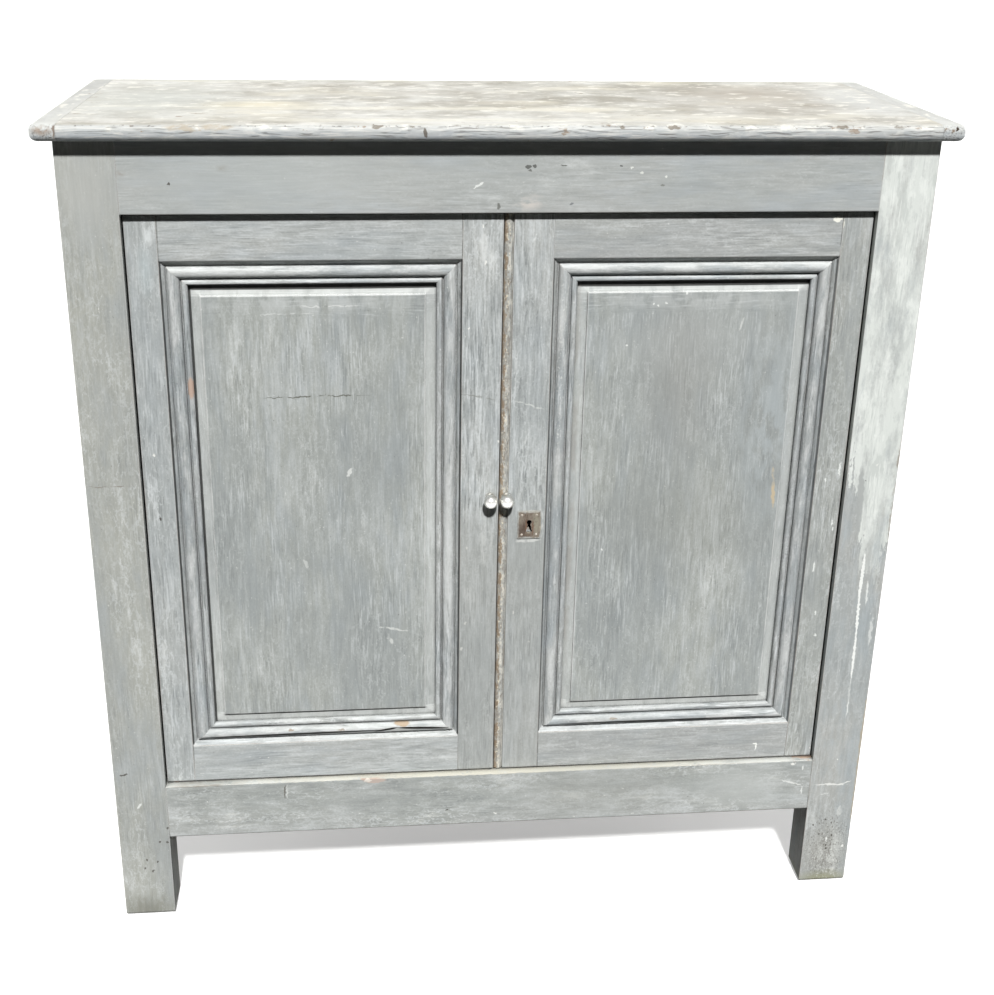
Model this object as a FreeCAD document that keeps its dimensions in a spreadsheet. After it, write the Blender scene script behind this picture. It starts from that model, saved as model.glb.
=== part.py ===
import FreeCAD, Part
import operator
import os
from types import SimpleNamespace

import Sketcher

# A painted two-door cupboard on four corner posts that run down to make its feet.
# X runs along its width, Y from front to back and Z up; the floor under its middle is the origin.
# All lengths are in millimetres. "Outward" places are counted from the middle towards either side.

SIZES = {
    # Corner posts and the rails between them
    "carcass_width": 1150,
    "carcass_depth": 384,
    "post_height": 1214,
    "post_width": 75,
    "post_depth": 55,
    "foot_height": 146,
    "foot_round": 6,
    "top_rail_height": 97,
    "bottom_rail_height": 91,
    "rail_tenon_thickness": 10,
    "rail_tenon_length": 32,
    "tenon_shoulder": 12,
    "mortise_play": 1,
    # Panelled sides
    "side_rail_thickness": 24,
    "side_rail_setback": 4,
    "side_panel_thickness": 12,
    "groove_depth": 10,
    "panel_play": 1,
    # Boarded back
    "rear_rail_thickness": 24,
    "back_board_thickness": 14,
    "back_board_lap": 10,
    "back_board_gap": 1,
    # Floor, shelves and the strips they lie on
    "floor_thickness": 18,
    "front_floor_board_width": 150,
    "shelf_thickness": 20,
    "shelf_setback": 60,
    "shelf_play": 1,
    "cleat_thickness": 22,
    "cleat_height": 25,
    # Top
    "top_thickness": 22,
    "top_overhang": 24,
    "top_front_board_width": 210,
    "top_nose_radius": 9,
    "top_corner_radius": 12,
    "end_cleat_width": 34,
    "top_tongue_thickness": 8,
    "top_tongue_length": 10,
    # Door frames
    "door_recess": 10,
    "door_thickness": 26,
    "hinge_gap": 2,
    "door_top_gap": 3,
    "door_bottom_gap": 2.5,
    "meeting_offset": 4,
    "meeting_gap": 1.2,
    "hinge_stile_width": 41,
    "meeting_stile_width": 54,
    "door_rail_height": 62,
    "door_tenon_length": 26,
    "meeting_bead_width": 13,
    "meeting_bead_drop": 3.5,
    "meeting_bead_quirk": 1.2,
    # Raised door panels
    "panel_margin_depth": 12,
    "panel_tongue_thickness": 7,
    "panel_bevel_width": 15,
    "panel_bevel_rise": 3,
    "panel_step": 3,
    # Section of the mouldings, heights counted from the panel's margin
    "moulding_lip_height": 11.5,
    "moulding_chamfer_width": 7,
    "moulding_quirk_height": 4,
    "moulding_quirk_width": 1.5,
    "moulding_torus_foot": 7.5,
    "moulding_torus_width": 16.5,
    "moulding_torus_height": 12,
    "inner_quirk_height": 4,
    "inner_quirk_width": 1.5,
    "inner_bead_width": 8,
    "inner_bead_height": 8,
    "inner_lip_height": 2.5,
    # Pins that the doors turn on
    "pivot_inset": 13,
    "pivot_depth": 6,
    "pivot_radius": 2.5,
    "pivot_clearance": 0.05,
    "pivot_root": 25,
    "pivot_reach": 20,
    "pivot_end_play": 1,
    "pivot_collar_radius": 5,
    "pivot_collar_clearance": 0.3,
    # Strips that the doors shut against
    "stop_clearance": 0.3,
    "stop_thickness": 16,
    "stop_drop": 12,
    "stop_lap": 24,
    "stop_middle_gap": 80,
    "stop_end_gap": 40,
    # Knobs
    "left_knob_inset": 12,
    "right_knob_inset": 10,
    "knob_height": 702,
    "knob_rose_radius": 7,
    "knob_rose_thickness": 2.5,
    "knob_neck_radius": 4.5,
    "knob_neck_length": 4,
    "knob_flare_length": 2,
    "knob_ball_radius": 10,
    "knob_stem_radius": 2.2,
    "knob_stem_length": 18,
    "knob_stem_clearance": 0.05,
    # Keyhole and its plate
    "keyhole_inset": 44,
    "keyhole_height": 661,
    "keyhole_head": 3.6,
    "keyhole_neck_half_width": 1.9,
    "keyhole_neck_drop": 3,
    "keyhole_foot_half_width": 4.5,
    "keyhole_foot_drop": 15.5,
    "keyhole_ease": 0.8,
    "keyhole_plate_width": 34,
    "keyhole_plate_height": 44,
    "keyhole_plate_thickness": 1.5,
    "keyhole_plate_drop": 4,
    "keyhole_plate_corner_radius": 2,
    # Lock on the inside of the right door
    "lock_inset": 4,
    "lock_width": 62,
    "lock_height": 60,
    "lock_depth": 14,
    "lock_plate_thickness": 2,
    "lock_bolt_length": 48,
    "lock_bolt_height": 10,
    "lock_bolt_thickness": 8,
    "lock_bolt_rise": 5,
    "lock_bolt_clearance": 0.3,
    "key_pocket_radius": 17,
    "talon_width": 10,
    "talon_depth": 3,
    # Upright bolt on the inside of the left door
    "bolt_plate_inset": 27,
    "bolt_plate_width": 24,
    "bolt_plate_height": 110,
    "bolt_plate_thickness": 2,
    "bolt_plate_drop": 8,
    "staple_height": 10,
    "staple_wall": 3,
    "upper_staple_inset": 10,
    "lower_staple_inset": 20,
    "door_bolt_width": 10,
    "door_bolt_thickness": 5,
    "door_bolt_length": 113,
    "door_bolt_drop": 3,
    "door_bolt_clearance": 0.3,
    "door_bolt_knob_radius": 4,
    "door_bolt_knob_length": 8,
    "door_bolt_knob_rise": 42,
    # How far each cutting shape runs past the surface it cuts
    "overrun": 5,
}

BACK_BOARD_COUNT = 4
SHELF_NAMES = ("lower", "middle", "upper")
SIDES = (("left", -1), ("right", 1))
FULL_TURN = 360
HALF_TURN = 180
QUARTER_TURN = 90
DIAGONAL_SHARE = 0.5 ** 0.5
TORUS_CREST_SHARE = 0.35
BEAD_CREST_SHARE = 0.45
FILLET_LIMIT_SHARE = 0.45
NEAR = 1e-6
X_AXIS = FreeCAD.Vector(1, 0, 0)
Y_AXIS = FreeCAD.Vector(0, 1, 0)
Z_AXIS = FreeCAD.Vector(0, 0, 1)
FACING_FRONT = FreeCAD.Rotation(Z_AXIS, HALF_TURN)
OPERATIONS = {"+": operator.add, "-": operator.sub, "*": operator.mul, "/": operator.truediv}


class Length:
    """A size together with the sheet expression that gives it."""

    def __init__(self, value, text):
        self.value = value
        self.text = text

    def __add__(self, other):
        return combine(self, "+", other)

    def __radd__(self, other):
        return combine(other, "+", self)

    def __sub__(self, other):
        return combine(self, "-", other)

    def __rsub__(self, other):
        return combine(other, "-", self)

    def __mul__(self, other):
        return combine(self, "*", other)

    def __rmul__(self, other):
        return combine(other, "*", self)

    def __truediv__(self, other):
        return combine(self, "/", other)

    def __neg__(self):
        return combine(0, "-", self)


def as_length(size):
    return size if isinstance(size, Length) else Length(size, repr(size))


def combine(left, sign, right):
    left = as_length(left)
    right = as_length(right)
    return Length(OPERATIONS[sign](left.value, right.value), f"({left.text} {sign} {right.text})")


def smaller(left, right):
    return Length(min(left.value, right.value), f"min({left.text}; {right.text})")


doc = FreeCAD.newDocument("jelly_cupboard")
sheet = doc.addObject("Spreadsheet::Sheet", "Sizes")
for row, (alias, millimetres) in enumerate(SIZES.items(), start=1):
    sheet.set(f"A{row}", alias)
    sheet.set(f"B{row}", str(millimetres))
    sheet.setAlias(f"B{row}", alias)
doc.recompute()
size = SimpleNamespace(**{alias: Length(sheet.get(alias), f"Sizes.{alias}") for alias in SIZES})
nodes = []


# Building blocks

def bind(thing, path, length):
    thing.setExpression(path, as_length(length).text)


def place(thing, x, y, z):
    for axis, length in zip("xyz", (x, y, z)):
        bind(thing, f"Placement.Base.{axis}", length)


def node(thing, label):
    thing.Label = label
    nodes.append(thing)
    return thing


def sided(sign, inner, outer):
    """A span of X from two outward places on one side."""
    return (inner, outer) if sign > 0 else (-outer, -inner)


def box(name, x, y, z):
    solid = doc.addObject("Part::Box", name)
    for side, (low, high) in zip(("Length", "Width", "Height"), (x, y, z)):
        bind(solid, side, high - low)
    place(solid, x[0], y[0], z[0])
    return solid


def upright_rod(name, radius, x, y, z):
    rod = doc.addObject("Part::Cylinder", name)
    bind(rod, "Radius", radius)
    bind(rod, "Height", z[1] - z[0])
    place(rod, x, y, z[0])
    return rod


def level_rod(name, radius, x, y, z):
    rod = doc.addObject("Part::Cylinder", name)
    rod.Placement = FreeCAD.Placement(FreeCAD.Vector(), FreeCAD.Rotation(X_AXIS, -QUARTER_TURN))
    bind(rod, "Radius", radius)
    bind(rod, "Height", y[1] - y[0])
    place(rod, x, y[0], z)
    return rod


def fuse(name, shapes):
    joined = doc.addObject("Part::MultiFuse", name)
    joined.Shapes = shapes
    return joined


def cut(name, base, tools):
    trimmed = doc.addObject("Part::Cut", name)
    trimmed.Base = base
    trimmed.Tool = tools[0] if len(tools) == 1 else fuse(f"{name}_cutters", tools)
    return trimmed


def group(name, solids):
    gathered = doc.addObject("Part::Compound", name)
    gathered.Links = solids
    return gathered


def new_body(name, x, y, z, turn=FreeCAD.Rotation()):
    body = doc.addObject("PartDesign::Body", name)
    body.Placement = FreeCAD.Placement(FreeCAD.Vector(), turn)
    place(body, x, y, z)
    return body


def locate(sketch, geometry, point, x, y):
    for kind, length in (("DistanceX", x), ("DistanceY", y)):
        index = sketch.addConstraint(Sketcher.Constraint(kind, geometry, point, as_length(length).value))
        bind(sketch, f"Constraints[{index}]", length)


def flat_point(x, y):
    return FreeCAD.Vector(as_length(x).value, as_length(y).value, 0)


def outline(body, name, plane, corners, lift=0):
    """A closed sketch through its corners; a third entry is the point that an arc to the next passes."""
    sketch = body.newObject("Sketcher::SketchObject", name)
    support = next(item for item in body.Origin.OriginFeatures if item.Role == plane)
    sketch.AttachmentSupport = [(support, "")]
    sketch.MapMode = "FlatFace"
    bind(sketch, "AttachmentOffset.Base.z", lift)
    ends = []
    for index, corner in enumerate(corners):
        start = flat_point(*corner[:2])
        end = flat_point(*corners[(index + 1) % len(corners)][:2])
        if len(corner) > 2:
            sketch.addGeometry(Part.Arc(start, flat_point(*corner[2]), end), False)
        else:
            sketch.addGeometry(Part.LineSegment(start, end), False)
        forward = sketch.getPoint(index, 1).distanceToPoint(start) < NEAR
        ends.append((1, 2) if forward else (2, 1))
    for index, corner in enumerate(corners):
        before = (index - 1) % len(corners)
        sketch.addConstraint(Sketcher.Constraint("Coincident", before, ends[before][1], index, ends[index][0]))
        locate(sketch, index, ends[index][0], *corner[:2])
        if len(corner) > 2:
            middle = sketch.addGeometry(Part.Point(flat_point(*corner[2])), True)
            sketch.addConstraint(Sketcher.Constraint("PointOnObject", middle, 1, index))
            locate(sketch, middle, 1, *corner[2])
    return sketch


def rectangle(body, name, plane, wide, high, lift=0):
    corners = [(wide[0], high[0]), (wide[1], high[0]), (wide[1], high[1]), (wide[0], high[1])]
    return outline(body, name, plane, corners, lift)


def centred(length):
    return (-length / 2, length / 2)


def pad(body, sketch, length, backward=False, both_ways=False):
    feature = body.newObject("PartDesign::Pad", f"{sketch.Name}_pad")
    feature.Profile = sketch
    feature.Reversed = backward
    feature.SideType = "Symmetric" if both_ways else "One side"
    bind(feature, "Length", length)
    return feature


def pocket(body, sketch):
    feature = body.newObject("PartDesign::Pocket", f"{sketch.Name}_pocket")
    feature.Profile = sketch
    feature.Type = "ThroughAll"
    feature.SideType = "Symmetric"
    return feature


def edges_at(feature, chosen):
    doc.recompute()
    limits = feature.Shape.BoundBox
    return [f"Edge{index}" for index, edge in enumerate(feature.Shape.Edges, start=1)
            if chosen(edge.CenterOfMass, limits)]


def dress(kind, body, feature, prop, length, chosen):
    dressed = body.newObject(f"PartDesign::{kind}", f"{feature.Name}_{kind.lower()}")
    dressed.Base = (feature, edges_at(feature, chosen))
    bind(dressed, prop, length)
    return dressed


# Places that several pieces share

front = (size.top_overhang - size.carcass_depth) / 2
back = (size.top_overhang + size.carcass_depth) / 2
half_width = size.carcass_width / 2
opening_half = half_width - size.post_width
floor_top = size.foot_height + size.bottom_rail_height
top_rail_low = size.post_height - size.top_rail_height
front_rail_thickness = size.door_recess + size.door_thickness + size.stop_clearance
front_rail_y = (front, front + front_rail_thickness)
top_rail_z = (top_rail_low, size.post_height)
bottom_rail_z = (size.foot_height, floor_top)
rear_boards_y = (back - size.back_board_thickness, back)
rear_rail_y = (rear_boards_y[0] - size.rear_rail_thickness, rear_boards_y[0])
front_post_y = (front, front + size.post_depth)
rear_post_y = (back - size.post_depth, back)
between_posts_y = (front_post_y[1], rear_post_y[0])
side_rail_inner = half_width - size.side_rail_setback - size.side_rail_thickness
side_rail_outward = (side_rail_inner, half_width - size.side_rail_setback)


def middle_span(span, thickness):
    middle = (span[0] + span[1]) / 2
    return (middle - thickness / 2, middle + thickness / 2)


def shrink(span, margin):
    return (span[0] + margin, span[1] - margin)


def grow(span, margin):
    return (span[0] - margin, span[1] + margin)


side_panel_outward = middle_span(side_rail_outward, size.side_panel_thickness)
side_tenon_outward = middle_span(side_rail_outward, size.rail_tenon_thickness)
side_panel_z = (floor_top, top_rail_low)


# Posts

def make_post(label, sign, y, cross_rail_y, into_post):
    """One corner post; into_post is the direction of its side mortises along Y."""
    body = new_body(f"{label}_blank", sided(sign, opening_half, half_width)[0], y[0], 0)
    section = rectangle(body, f"{label}_section", "XY_Plane", (0, size.post_width), (0, size.post_depth))
    shaft = pad(body, section, size.post_height)
    dress("Fillet", body, shaft, "Radius", size.foot_round,
          lambda middle, limits: abs(middle.z - limits.ZMin) < NEAR)
    inner_face = y[1] if into_post < 0 else y[0]
    mortise_depth = size.rail_tenon_length + size.mortise_play
    cross_x = sided(sign, opening_half - size.overrun, opening_half + mortise_depth)
    cross_y = middle_span(cross_rail_y, size.rail_tenon_thickness)
    tools = []
    for name, z in (("top", top_rail_z), ("bottom", bottom_rail_z)):
        tenon_z = shrink(z, size.tenon_shoulder)
        tools.append(box(f"{label}_{name}_cross_mortise", cross_x, cross_y, tenon_z))
        depth_y = span_into(inner_face, into_post, mortise_depth)
        tools.append(box(f"{label}_{name}_side_mortise", sided(sign, *side_tenon_outward), depth_y, tenon_z))
    groove_y = span_into(inner_face, into_post, size.groove_depth)
    tools.append(box(f"{label}_groove", sided(sign, *side_panel_outward), groove_y,
                     grow(side_panel_z, size.groove_depth)))
    node(cut(label, body, tools), label)


def span_into(face, direction, depth):
    """A span of Y that starts past a face and runs into the wood behind it."""
    if direction < 0:
        return (face - depth, face + size.overrun)
    return (face - size.overrun, face + depth)


for side, sign in SIDES:
    make_post(f"front_{side}_post", sign, front_post_y, front_rail_y, -1)
    make_post(f"rear_{side}_post", sign, rear_post_y, rear_rail_y, 1)


# Rails and sides

def cross_rail(label, y, z):
    """A rail between two posts, with a tenon on each end."""
    tenon_x = centred(2 * (opening_half + size.rail_tenon_length))
    tenon_y = middle_span(y, size.rail_tenon_thickness)
    return fuse(label, [
        box(f"{label}_board", centred(2 * opening_half), y, z),
        box(f"{label}_tenons", tenon_x, tenon_y, shrink(z, size.tenon_shoulder)),
    ])


def side_rail(label, sign, z, groove_z):
    """A rail from a front post to a rear post, grooved for the side panel."""
    blank = fuse(f"{label}_blank", [
        box(f"{label}_board", sided(sign, *side_rail_outward), between_posts_y, z),
        box(f"{label}_tenons", sided(sign, *side_tenon_outward),
            grow(between_posts_y, size.rail_tenon_length), shrink(z, size.tenon_shoulder)),
    ])
    groove = box(f"{label}_groove", sided(sign, *side_panel_outward),
                 grow(between_posts_y, size.groove_depth), groove_z)
    node(cut(label, blank, [groove]), label)


for side, sign in SIDES:
    side_rail(f"{side}_top_side_rail", sign, top_rail_z,
              (top_rail_low - size.overrun, top_rail_low + size.groove_depth))
    side_rail(f"{side}_bottom_side_rail", sign, bottom_rail_z,
              (floor_top - size.groove_depth, floor_top + size.overrun))
    panel_edge = size.groove_depth - size.panel_play
    node(box(f"{side}_side_panel", sided(sign, *side_panel_outward), grow(between_posts_y, panel_edge),
             grow(side_panel_z, panel_edge)), f"{side}_side_panel")

node(cross_rail("rear_top_rail", rear_rail_y, top_rail_z), "rear_top_rail")
node(cross_rail("rear_bottom_rail", rear_rail_y, bottom_rail_z), "rear_bottom_rail")


# Back boards, each lapping behind the edge of the next

def make_back_boards():
    pitch = 2 * opening_half / BACK_BOARD_COUNT
    half_lap_y = (rear_boards_y[0] + size.back_board_thickness / 2, rear_boards_y[1])
    board_z = (size.foot_height, size.post_height)
    for index in range(BACK_BOARD_COUNT):
        label = f"back_board_{index + 1}"
        low = pitch * index - opening_half
        first = index == 0
        last = index == BACK_BOARD_COUNT - 1
        board_x = (low if first else low + size.back_board_gap, low + pitch)
        board = box(f"{label}_board", board_x, rear_boards_y, board_z)
        if not last:
            front_half_y = (rear_boards_y[0], half_lap_y[0])
            tongue_x = (low + pitch, low + pitch + size.back_board_lap)
            board = fuse(f"{label}_tongued", [board, box(f"{label}_tongue", tongue_x, front_half_y, board_z)])
        if not first:
            rebate_x = (low - size.overrun, low + size.back_board_lap + size.back_board_gap)
            rebate_y = (rear_boards_y[0] - size.overrun, half_lap_y[0])
            rebate = box(f"{label}_rebate", rebate_x, rebate_y, grow(board_z, size.overrun))
            board = cut(f"{label}_rebated", board, [rebate])
        node(board, label)


make_back_boards()


# Floor, shelves and the strips they lie on

def notched_board(label, y, z, posts):
    """A board across the inside, notched round the posts that stand in its way."""
    board_half = side_rail_inner - size.shelf_play
    board = box(f"{label}_board", centred(2 * board_half), y, z)
    notches = []
    for post_y in posts:
        for side, sign in SIDES:
            notch_x = sided(sign, opening_half - size.shelf_play, board_half + size.overrun)
            notch_y = grow(post_y, size.shelf_play)
            notches.append(box(f"{label}_{side}_notch", notch_x, notch_y, grow(z, size.overrun)))
    node(cut(label, board, notches), label)


def cleat_pair(name, outer, high):
    """A strip under each end of a board, fixed between the posts."""
    z = (high - size.cleat_height, high)
    return [box(f"{side}_{name}", sided(sign, outer - size.cleat_thickness, outer), between_posts_y, z)
            for side, sign in SIDES]


floor_z = (floor_top - size.floor_thickness, floor_top)
floor_joint = front_rail_y[1] + size.front_floor_board_width
notched_board("front_floor_board", (front_rail_y[1], floor_joint), floor_z, [front_post_y])
notched_board("rear_floor_board", (floor_joint, rear_rail_y[0]), floor_z, [rear_post_y])
node(group("floor_cleats", cleat_pair("floor_cleat", side_rail_inner, floor_z[0])), "floor_cleats")

shelf_y = (front + size.shelf_setback, rear_boards_y[0] - size.shelf_play)
shelf_count = len(SHELF_NAMES)
clear_height = (size.post_height - floor_top - size.shelf_thickness * shelf_count) / (shelf_count + 1)
shelf_cleats = []
for index, name in enumerate(SHELF_NAMES):
    shelf_low = floor_top + clear_height * (index + 1) + size.shelf_thickness * index
    notched_board(f"{name}_shelf", shelf_y, (shelf_low, shelf_low + size.shelf_thickness), [rear_post_y])
    shelf_cleats += cleat_pair(f"{name}_shelf_cleat", side_panel_outward[0], shelf_low)
node(group("shelf_cleats", shelf_cleats), "shelf_cleats")


# Top: two boards with rounded front edge, held flat by a strip across each end

top_half = half_width + size.top_overhang
top_front = front - size.top_overhang
top_joint = top_front + size.top_front_board_width
board_end = top_half - size.end_cleat_width
top_z = (size.post_height, size.post_height + size.top_thickness)
tongue_z = middle_span(top_z, size.top_tongue_thickness)
nose_limit = smaller(size.top_thickness * FILLET_LIMIT_SHARE, size.top_corner_radius * (2 * FILLET_LIMIT_SHARE))
nose_radius = smaller(size.top_nose_radius, nose_limit)


def make_top_board(label, y, rounded):
    body = new_body(f"{label}_blank", 0, y[0], size.post_height)
    plan = rectangle(body, f"{label}_plan", "XY_Plane", centred(2 * board_end), (0, y[1] - y[0]))
    board = pad(body, plan, size.top_thickness)
    if rounded:
        dress("Fillet", body, board, "Radius", nose_radius,
              lambda middle, limits: abs(middle.y - limits.YMin) < NEAR and abs(middle.x) < NEAR)
    tongue_y = (y[0] + size.top_corner_radius, y[1]) if rounded else y
    tongue = box(f"{label}_tongues", centred(2 * (board_end + size.top_tongue_length)), tongue_y, tongue_z)
    node(fuse(label, [body, tongue]), label)


def make_end_cleat(label, sign):
    """An end strip with its outer side and front end rounded, grooved for the boards' tongues."""
    body = new_body(f"{label}_blank", sided(sign, board_end, top_half)[0], top_front, size.post_height)
    plan = rectangle(body, f"{label}_plan", "XY_Plane", (0, size.end_cleat_width), (0, back - top_front))
    strip = pad(body, plan, size.top_thickness)

    def outer_side(middle, limits):
        return abs(middle.x - (limits.XMax if sign > 0 else limits.XMin)) < NEAR

    def front_end(middle, limits):
        return abs(middle.y - limits.YMin) < NEAR

    corner = dress("Fillet", body, strip, "Radius", size.top_corner_radius,
                   lambda middle, limits: outer_side(middle, limits) and front_end(middle, limits))

    def round_edge(middle, limits):
        level = min(abs(middle.z - limits.ZMin), abs(middle.z - limits.ZMax)) < NEAR
        along_back = abs(middle.y - limits.YMax) < NEAR
        inner = abs(middle.x - (limits.XMin if sign > 0 else limits.XMax)) < NEAR
        return level and not along_back and not inner

    dress("Fillet", body, corner, "Radius", nose_radius, round_edge)
    groove_x = sided(sign, board_end - size.overrun, board_end + size.top_tongue_length + size.mortise_play)
    groove = box(f"{label}_groove", groove_x, (top_front + size.top_corner_radius, back + size.overrun), tongue_z)
    node(cut(label, body, [groove]), label)


make_top_board("top_front_board", (top_front, top_joint), True)
make_top_board("top_rear_board", (top_joint, back), False)
for side, sign in SIDES:
    make_end_cleat(f"{side}_top_end_cleat", sign)


# Pins that the doors turn on, fixed in the front rails, and the strips behind the top rail

door_face = front + size.door_recess
door_back = door_face + size.door_thickness
door_z = (floor_top + size.door_bottom_gap, top_rail_low - size.door_top_gap)
hinge_edge = opening_half - size.hinge_gap
pivot_outward = hinge_edge - size.pivot_inset
pivot_y = door_face + size.pivot_depth
pivot_bore_radius = size.pivot_radius + size.pivot_clearance
upper_pin_z = (top_rail_low - size.door_top_gap - size.pivot_reach, top_rail_low + size.pivot_root)
lower_pin_z = (floor_top - size.pivot_root, floor_top + size.door_bottom_gap + size.pivot_reach)


def bored_rail(label, z, bore_z):
    bores = [upright_rod(f"{label}_{side}_bore", pivot_bore_radius, sign * pivot_outward, pivot_y, bore_z)
             for side, sign in SIDES]
    node(cut(label, cross_rail(f"{label}_blank", front_rail_y, z), bores), label)


bored_rail("front_top_rail", top_rail_z, (top_rail_low - size.overrun, upper_pin_z[1]))
bored_rail("front_bottom_rail", bottom_rail_z, (lower_pin_z[0], floor_top + size.overrun))

upper_pins = []
lower_pins = []
stops = []
collar_z = (floor_top, floor_top + size.door_bottom_gap - size.pivot_collar_clearance)
stop_outward = (size.stop_middle_gap, opening_half - size.stop_end_gap)
stop_y = (front_rail_y[1], front_rail_y[1] + size.stop_thickness)
stop_z = (top_rail_low - size.stop_drop, top_rail_low + size.stop_lap)
for side, sign in SIDES:
    pivot_x = sign * pivot_outward
    upper_pins.append(upright_rod(f"{side}_upper_pin", size.pivot_radius, pivot_x, pivot_y, upper_pin_z))
    lower_pins.append(fuse(f"{side}_lower_pin", [
        upright_rod(f"{side}_lower_pin_shank", size.pivot_radius, pivot_x, pivot_y, lower_pin_z),
        upright_rod(f"{side}_lower_pin_collar", size.pivot_collar_radius, pivot_x, pivot_y, collar_z),
    ]))
    stops.append(box(f"{side}_door_stop", sided(sign, *stop_outward), stop_y, stop_z))
node(group("upper_pivot_pins", upper_pins), "upper_pivot_pins")
node(group("lower_pivot_pins", lower_pins), "lower_pivot_pins")
node(group("door_stops", stops), "door_stops")


# Doors: framed, with a raised panel inside mitred mouldings

door_y = (door_face, door_back)
sight_z = shrink(door_z, size.door_rail_height)
margin_y = door_face + size.panel_margin_depth
tongue_y = (margin_y, margin_y + size.panel_tongue_thickness)
stile_edge = hinge_edge - size.hinge_stile_width
moulding_width = (size.moulding_chamfer_width + size.moulding_quirk_width + size.moulding_torus_width
                  + size.inner_quirk_width + size.inner_bead_width)
left_meeting_edge = size.meeting_offset + size.meeting_gap / 2
right_meeting_edge = size.meeting_gap / 2 - size.meeting_offset


def moulding_section(body, name):
    """Chamfer, quirk, torus, quirk and bead, from the frame's edge inward."""
    torus_start = size.moulding_chamfer_width + size.moulding_quirk_width
    torus_end = torus_start + size.moulding_torus_width
    bead_start = torus_end + size.inner_quirk_width
    torus_crest = (size.moulding_torus_height, torus_start + size.moulding_torus_width * TORUS_CREST_SHARE)
    bead_crest = (size.inner_bead_height, bead_start + size.inner_bead_width * BEAD_CREST_SHARE)
    return outline(body, name, "YZ_Plane", [
        (0, 0),
        (size.moulding_lip_height, 0),
        (size.moulding_quirk_height, size.moulding_chamfer_width),
        (size.moulding_quirk_height, torus_start),
        (size.moulding_torus_foot, torus_start, torus_crest),
        (size.inner_quirk_height, torus_end),
        (size.inner_quirk_height, bead_start, bead_crest),
        (size.inner_lip_height, moulding_width),
        (0, moulding_width),
    ])


def make_moulding(label, length, x, z, angle):
    """A strip along one edge of the panel; angle turns it from the bottom edge round the door."""
    turn = FreeCAD.Rotation(Y_AXIS, angle) * FACING_FRONT
    body = new_body(label, x, margin_y, z, turn)
    pad(body, moulding_section(body, f"{label}_section"), length, both_ways=True)
    run = size.overrun
    for side, sign in SIDES:
        mitre = [(sign * (length / 2 + run), -run),
                 (sign * (length / 2 + run), moulding_width + run),
                 (sign * (length / 2 - moulding_width - run), moulding_width + run)]
        pocket(body, outline(body, f"{label}_{side}_mitre", "XZ_Plane", mitre))
    node(body, label)


def make_panel(label, sight_x):
    """A board held in the frame's groove, with a bevelled and stepped field on its front."""
    wide = sight_x[1] - sight_x[0]
    high = sight_z[1] - sight_z[0]
    edge = size.groove_depth - size.panel_play
    body = new_body(label, (sight_x[0] + sight_x[1]) / 2, margin_y, (sight_z[0] + sight_z[1]) / 2)
    bevel_foot = 2 * moulding_width
    bevel_top = bevel_foot + 2 * size.panel_bevel_width
    board = rectangle(body, f"{label}_board", "XZ_Plane", centred(wide + 2 * edge), centred(high + 2 * edge))
    pad(body, board, size.panel_tongue_thickness, backward=True)
    foot = rectangle(body, f"{label}_bevel_foot", "XZ_Plane",
                     centred(wide - bevel_foot), centred(high - bevel_foot))
    crown = rectangle(body, f"{label}_bevel_crown", "XZ_Plane",
                      centred(wide - bevel_top), centred(high - bevel_top), size.panel_bevel_rise)
    bevel = body.newObject("PartDesign::AdditiveLoft", f"{label}_bevel")
    bevel.Profile = foot
    bevel.Sections = [crown]
    bevel.Ruled = True
    field = rectangle(body, f"{label}_field", "XZ_Plane",
                      centred(wide - bevel_top), centred(high - bevel_top), size.panel_bevel_rise)
    pad(body, field, size.panel_step)
    node(body, label)


def make_stile(label, x, groove_x, tenon_x, extra_cutters):
    """An upright of a door frame, mortised for the rails and grooved for the panel."""
    tools = [box(f"{label}_groove", groove_x, tongue_y, grow(sight_z, size.groove_depth))]
    for name, z in (("top", (sight_z[1], door_z[1])), ("bottom", (door_z[0], sight_z[0]))):
        tools.append(box(f"{label}_{name}_mortise", tenon_x, tongue_y, shrink(z, size.tenon_shoulder)))
    node(cut(label, box(f"{label}_board", x, door_y, door_z), tools + extra_cutters), label)


def make_door_rail(label, sight_x, z, groove_z):
    """A level piece of a door frame, tenoned into both stiles and grooved for the panel."""
    blank = fuse(f"{label}_blank", [
        box(f"{label}_board", sight_x, door_y, z),
        box(f"{label}_tenons", grow(sight_x, size.door_tenon_length), tongue_y,
            shrink(z, size.tenon_shoulder)),
    ])
    groove = box(f"{label}_groove", grow(sight_x, size.groove_depth), tongue_y, groove_z)
    node(cut(label, blank, [groove]), label)


def make_knob(label, x):
    """A turned ball knob on a round rose, with a stem let into the door."""
    body = new_body(label, x, door_face, size.knob_height, FACING_FRONT)
    neck_end = size.knob_rose_thickness + size.knob_neck_length
    diagonal = size.knob_ball_radius * DIAGONAL_SHARE
    ball_start = neck_end + size.knob_flare_length
    ball_middle = ball_start + diagonal
    profile = outline(body, f"{label}_profile", "YZ_Plane", [
        (-size.knob_stem_length, 0),
        (-size.knob_stem_length, size.knob_stem_radius),
        (0, size.knob_stem_radius),
        (0, size.knob_rose_radius),
        (size.knob_rose_thickness, size.knob_rose_radius),
        (size.knob_rose_thickness, size.knob_neck_radius),
        (neck_end, size.knob_neck_radius),
        (ball_start, diagonal, (ball_middle + diagonal, diagonal)),
        (ball_middle + size.knob_ball_radius, 0),
    ])
    turned = body.newObject("PartDesign::Revolution", f"{label}_turned")
    turned.Profile = profile
    turned.ReferenceAxis = (profile, ["H_Axis"])
    turned.Angle = FULL_TURN
    node(body, label)


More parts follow.
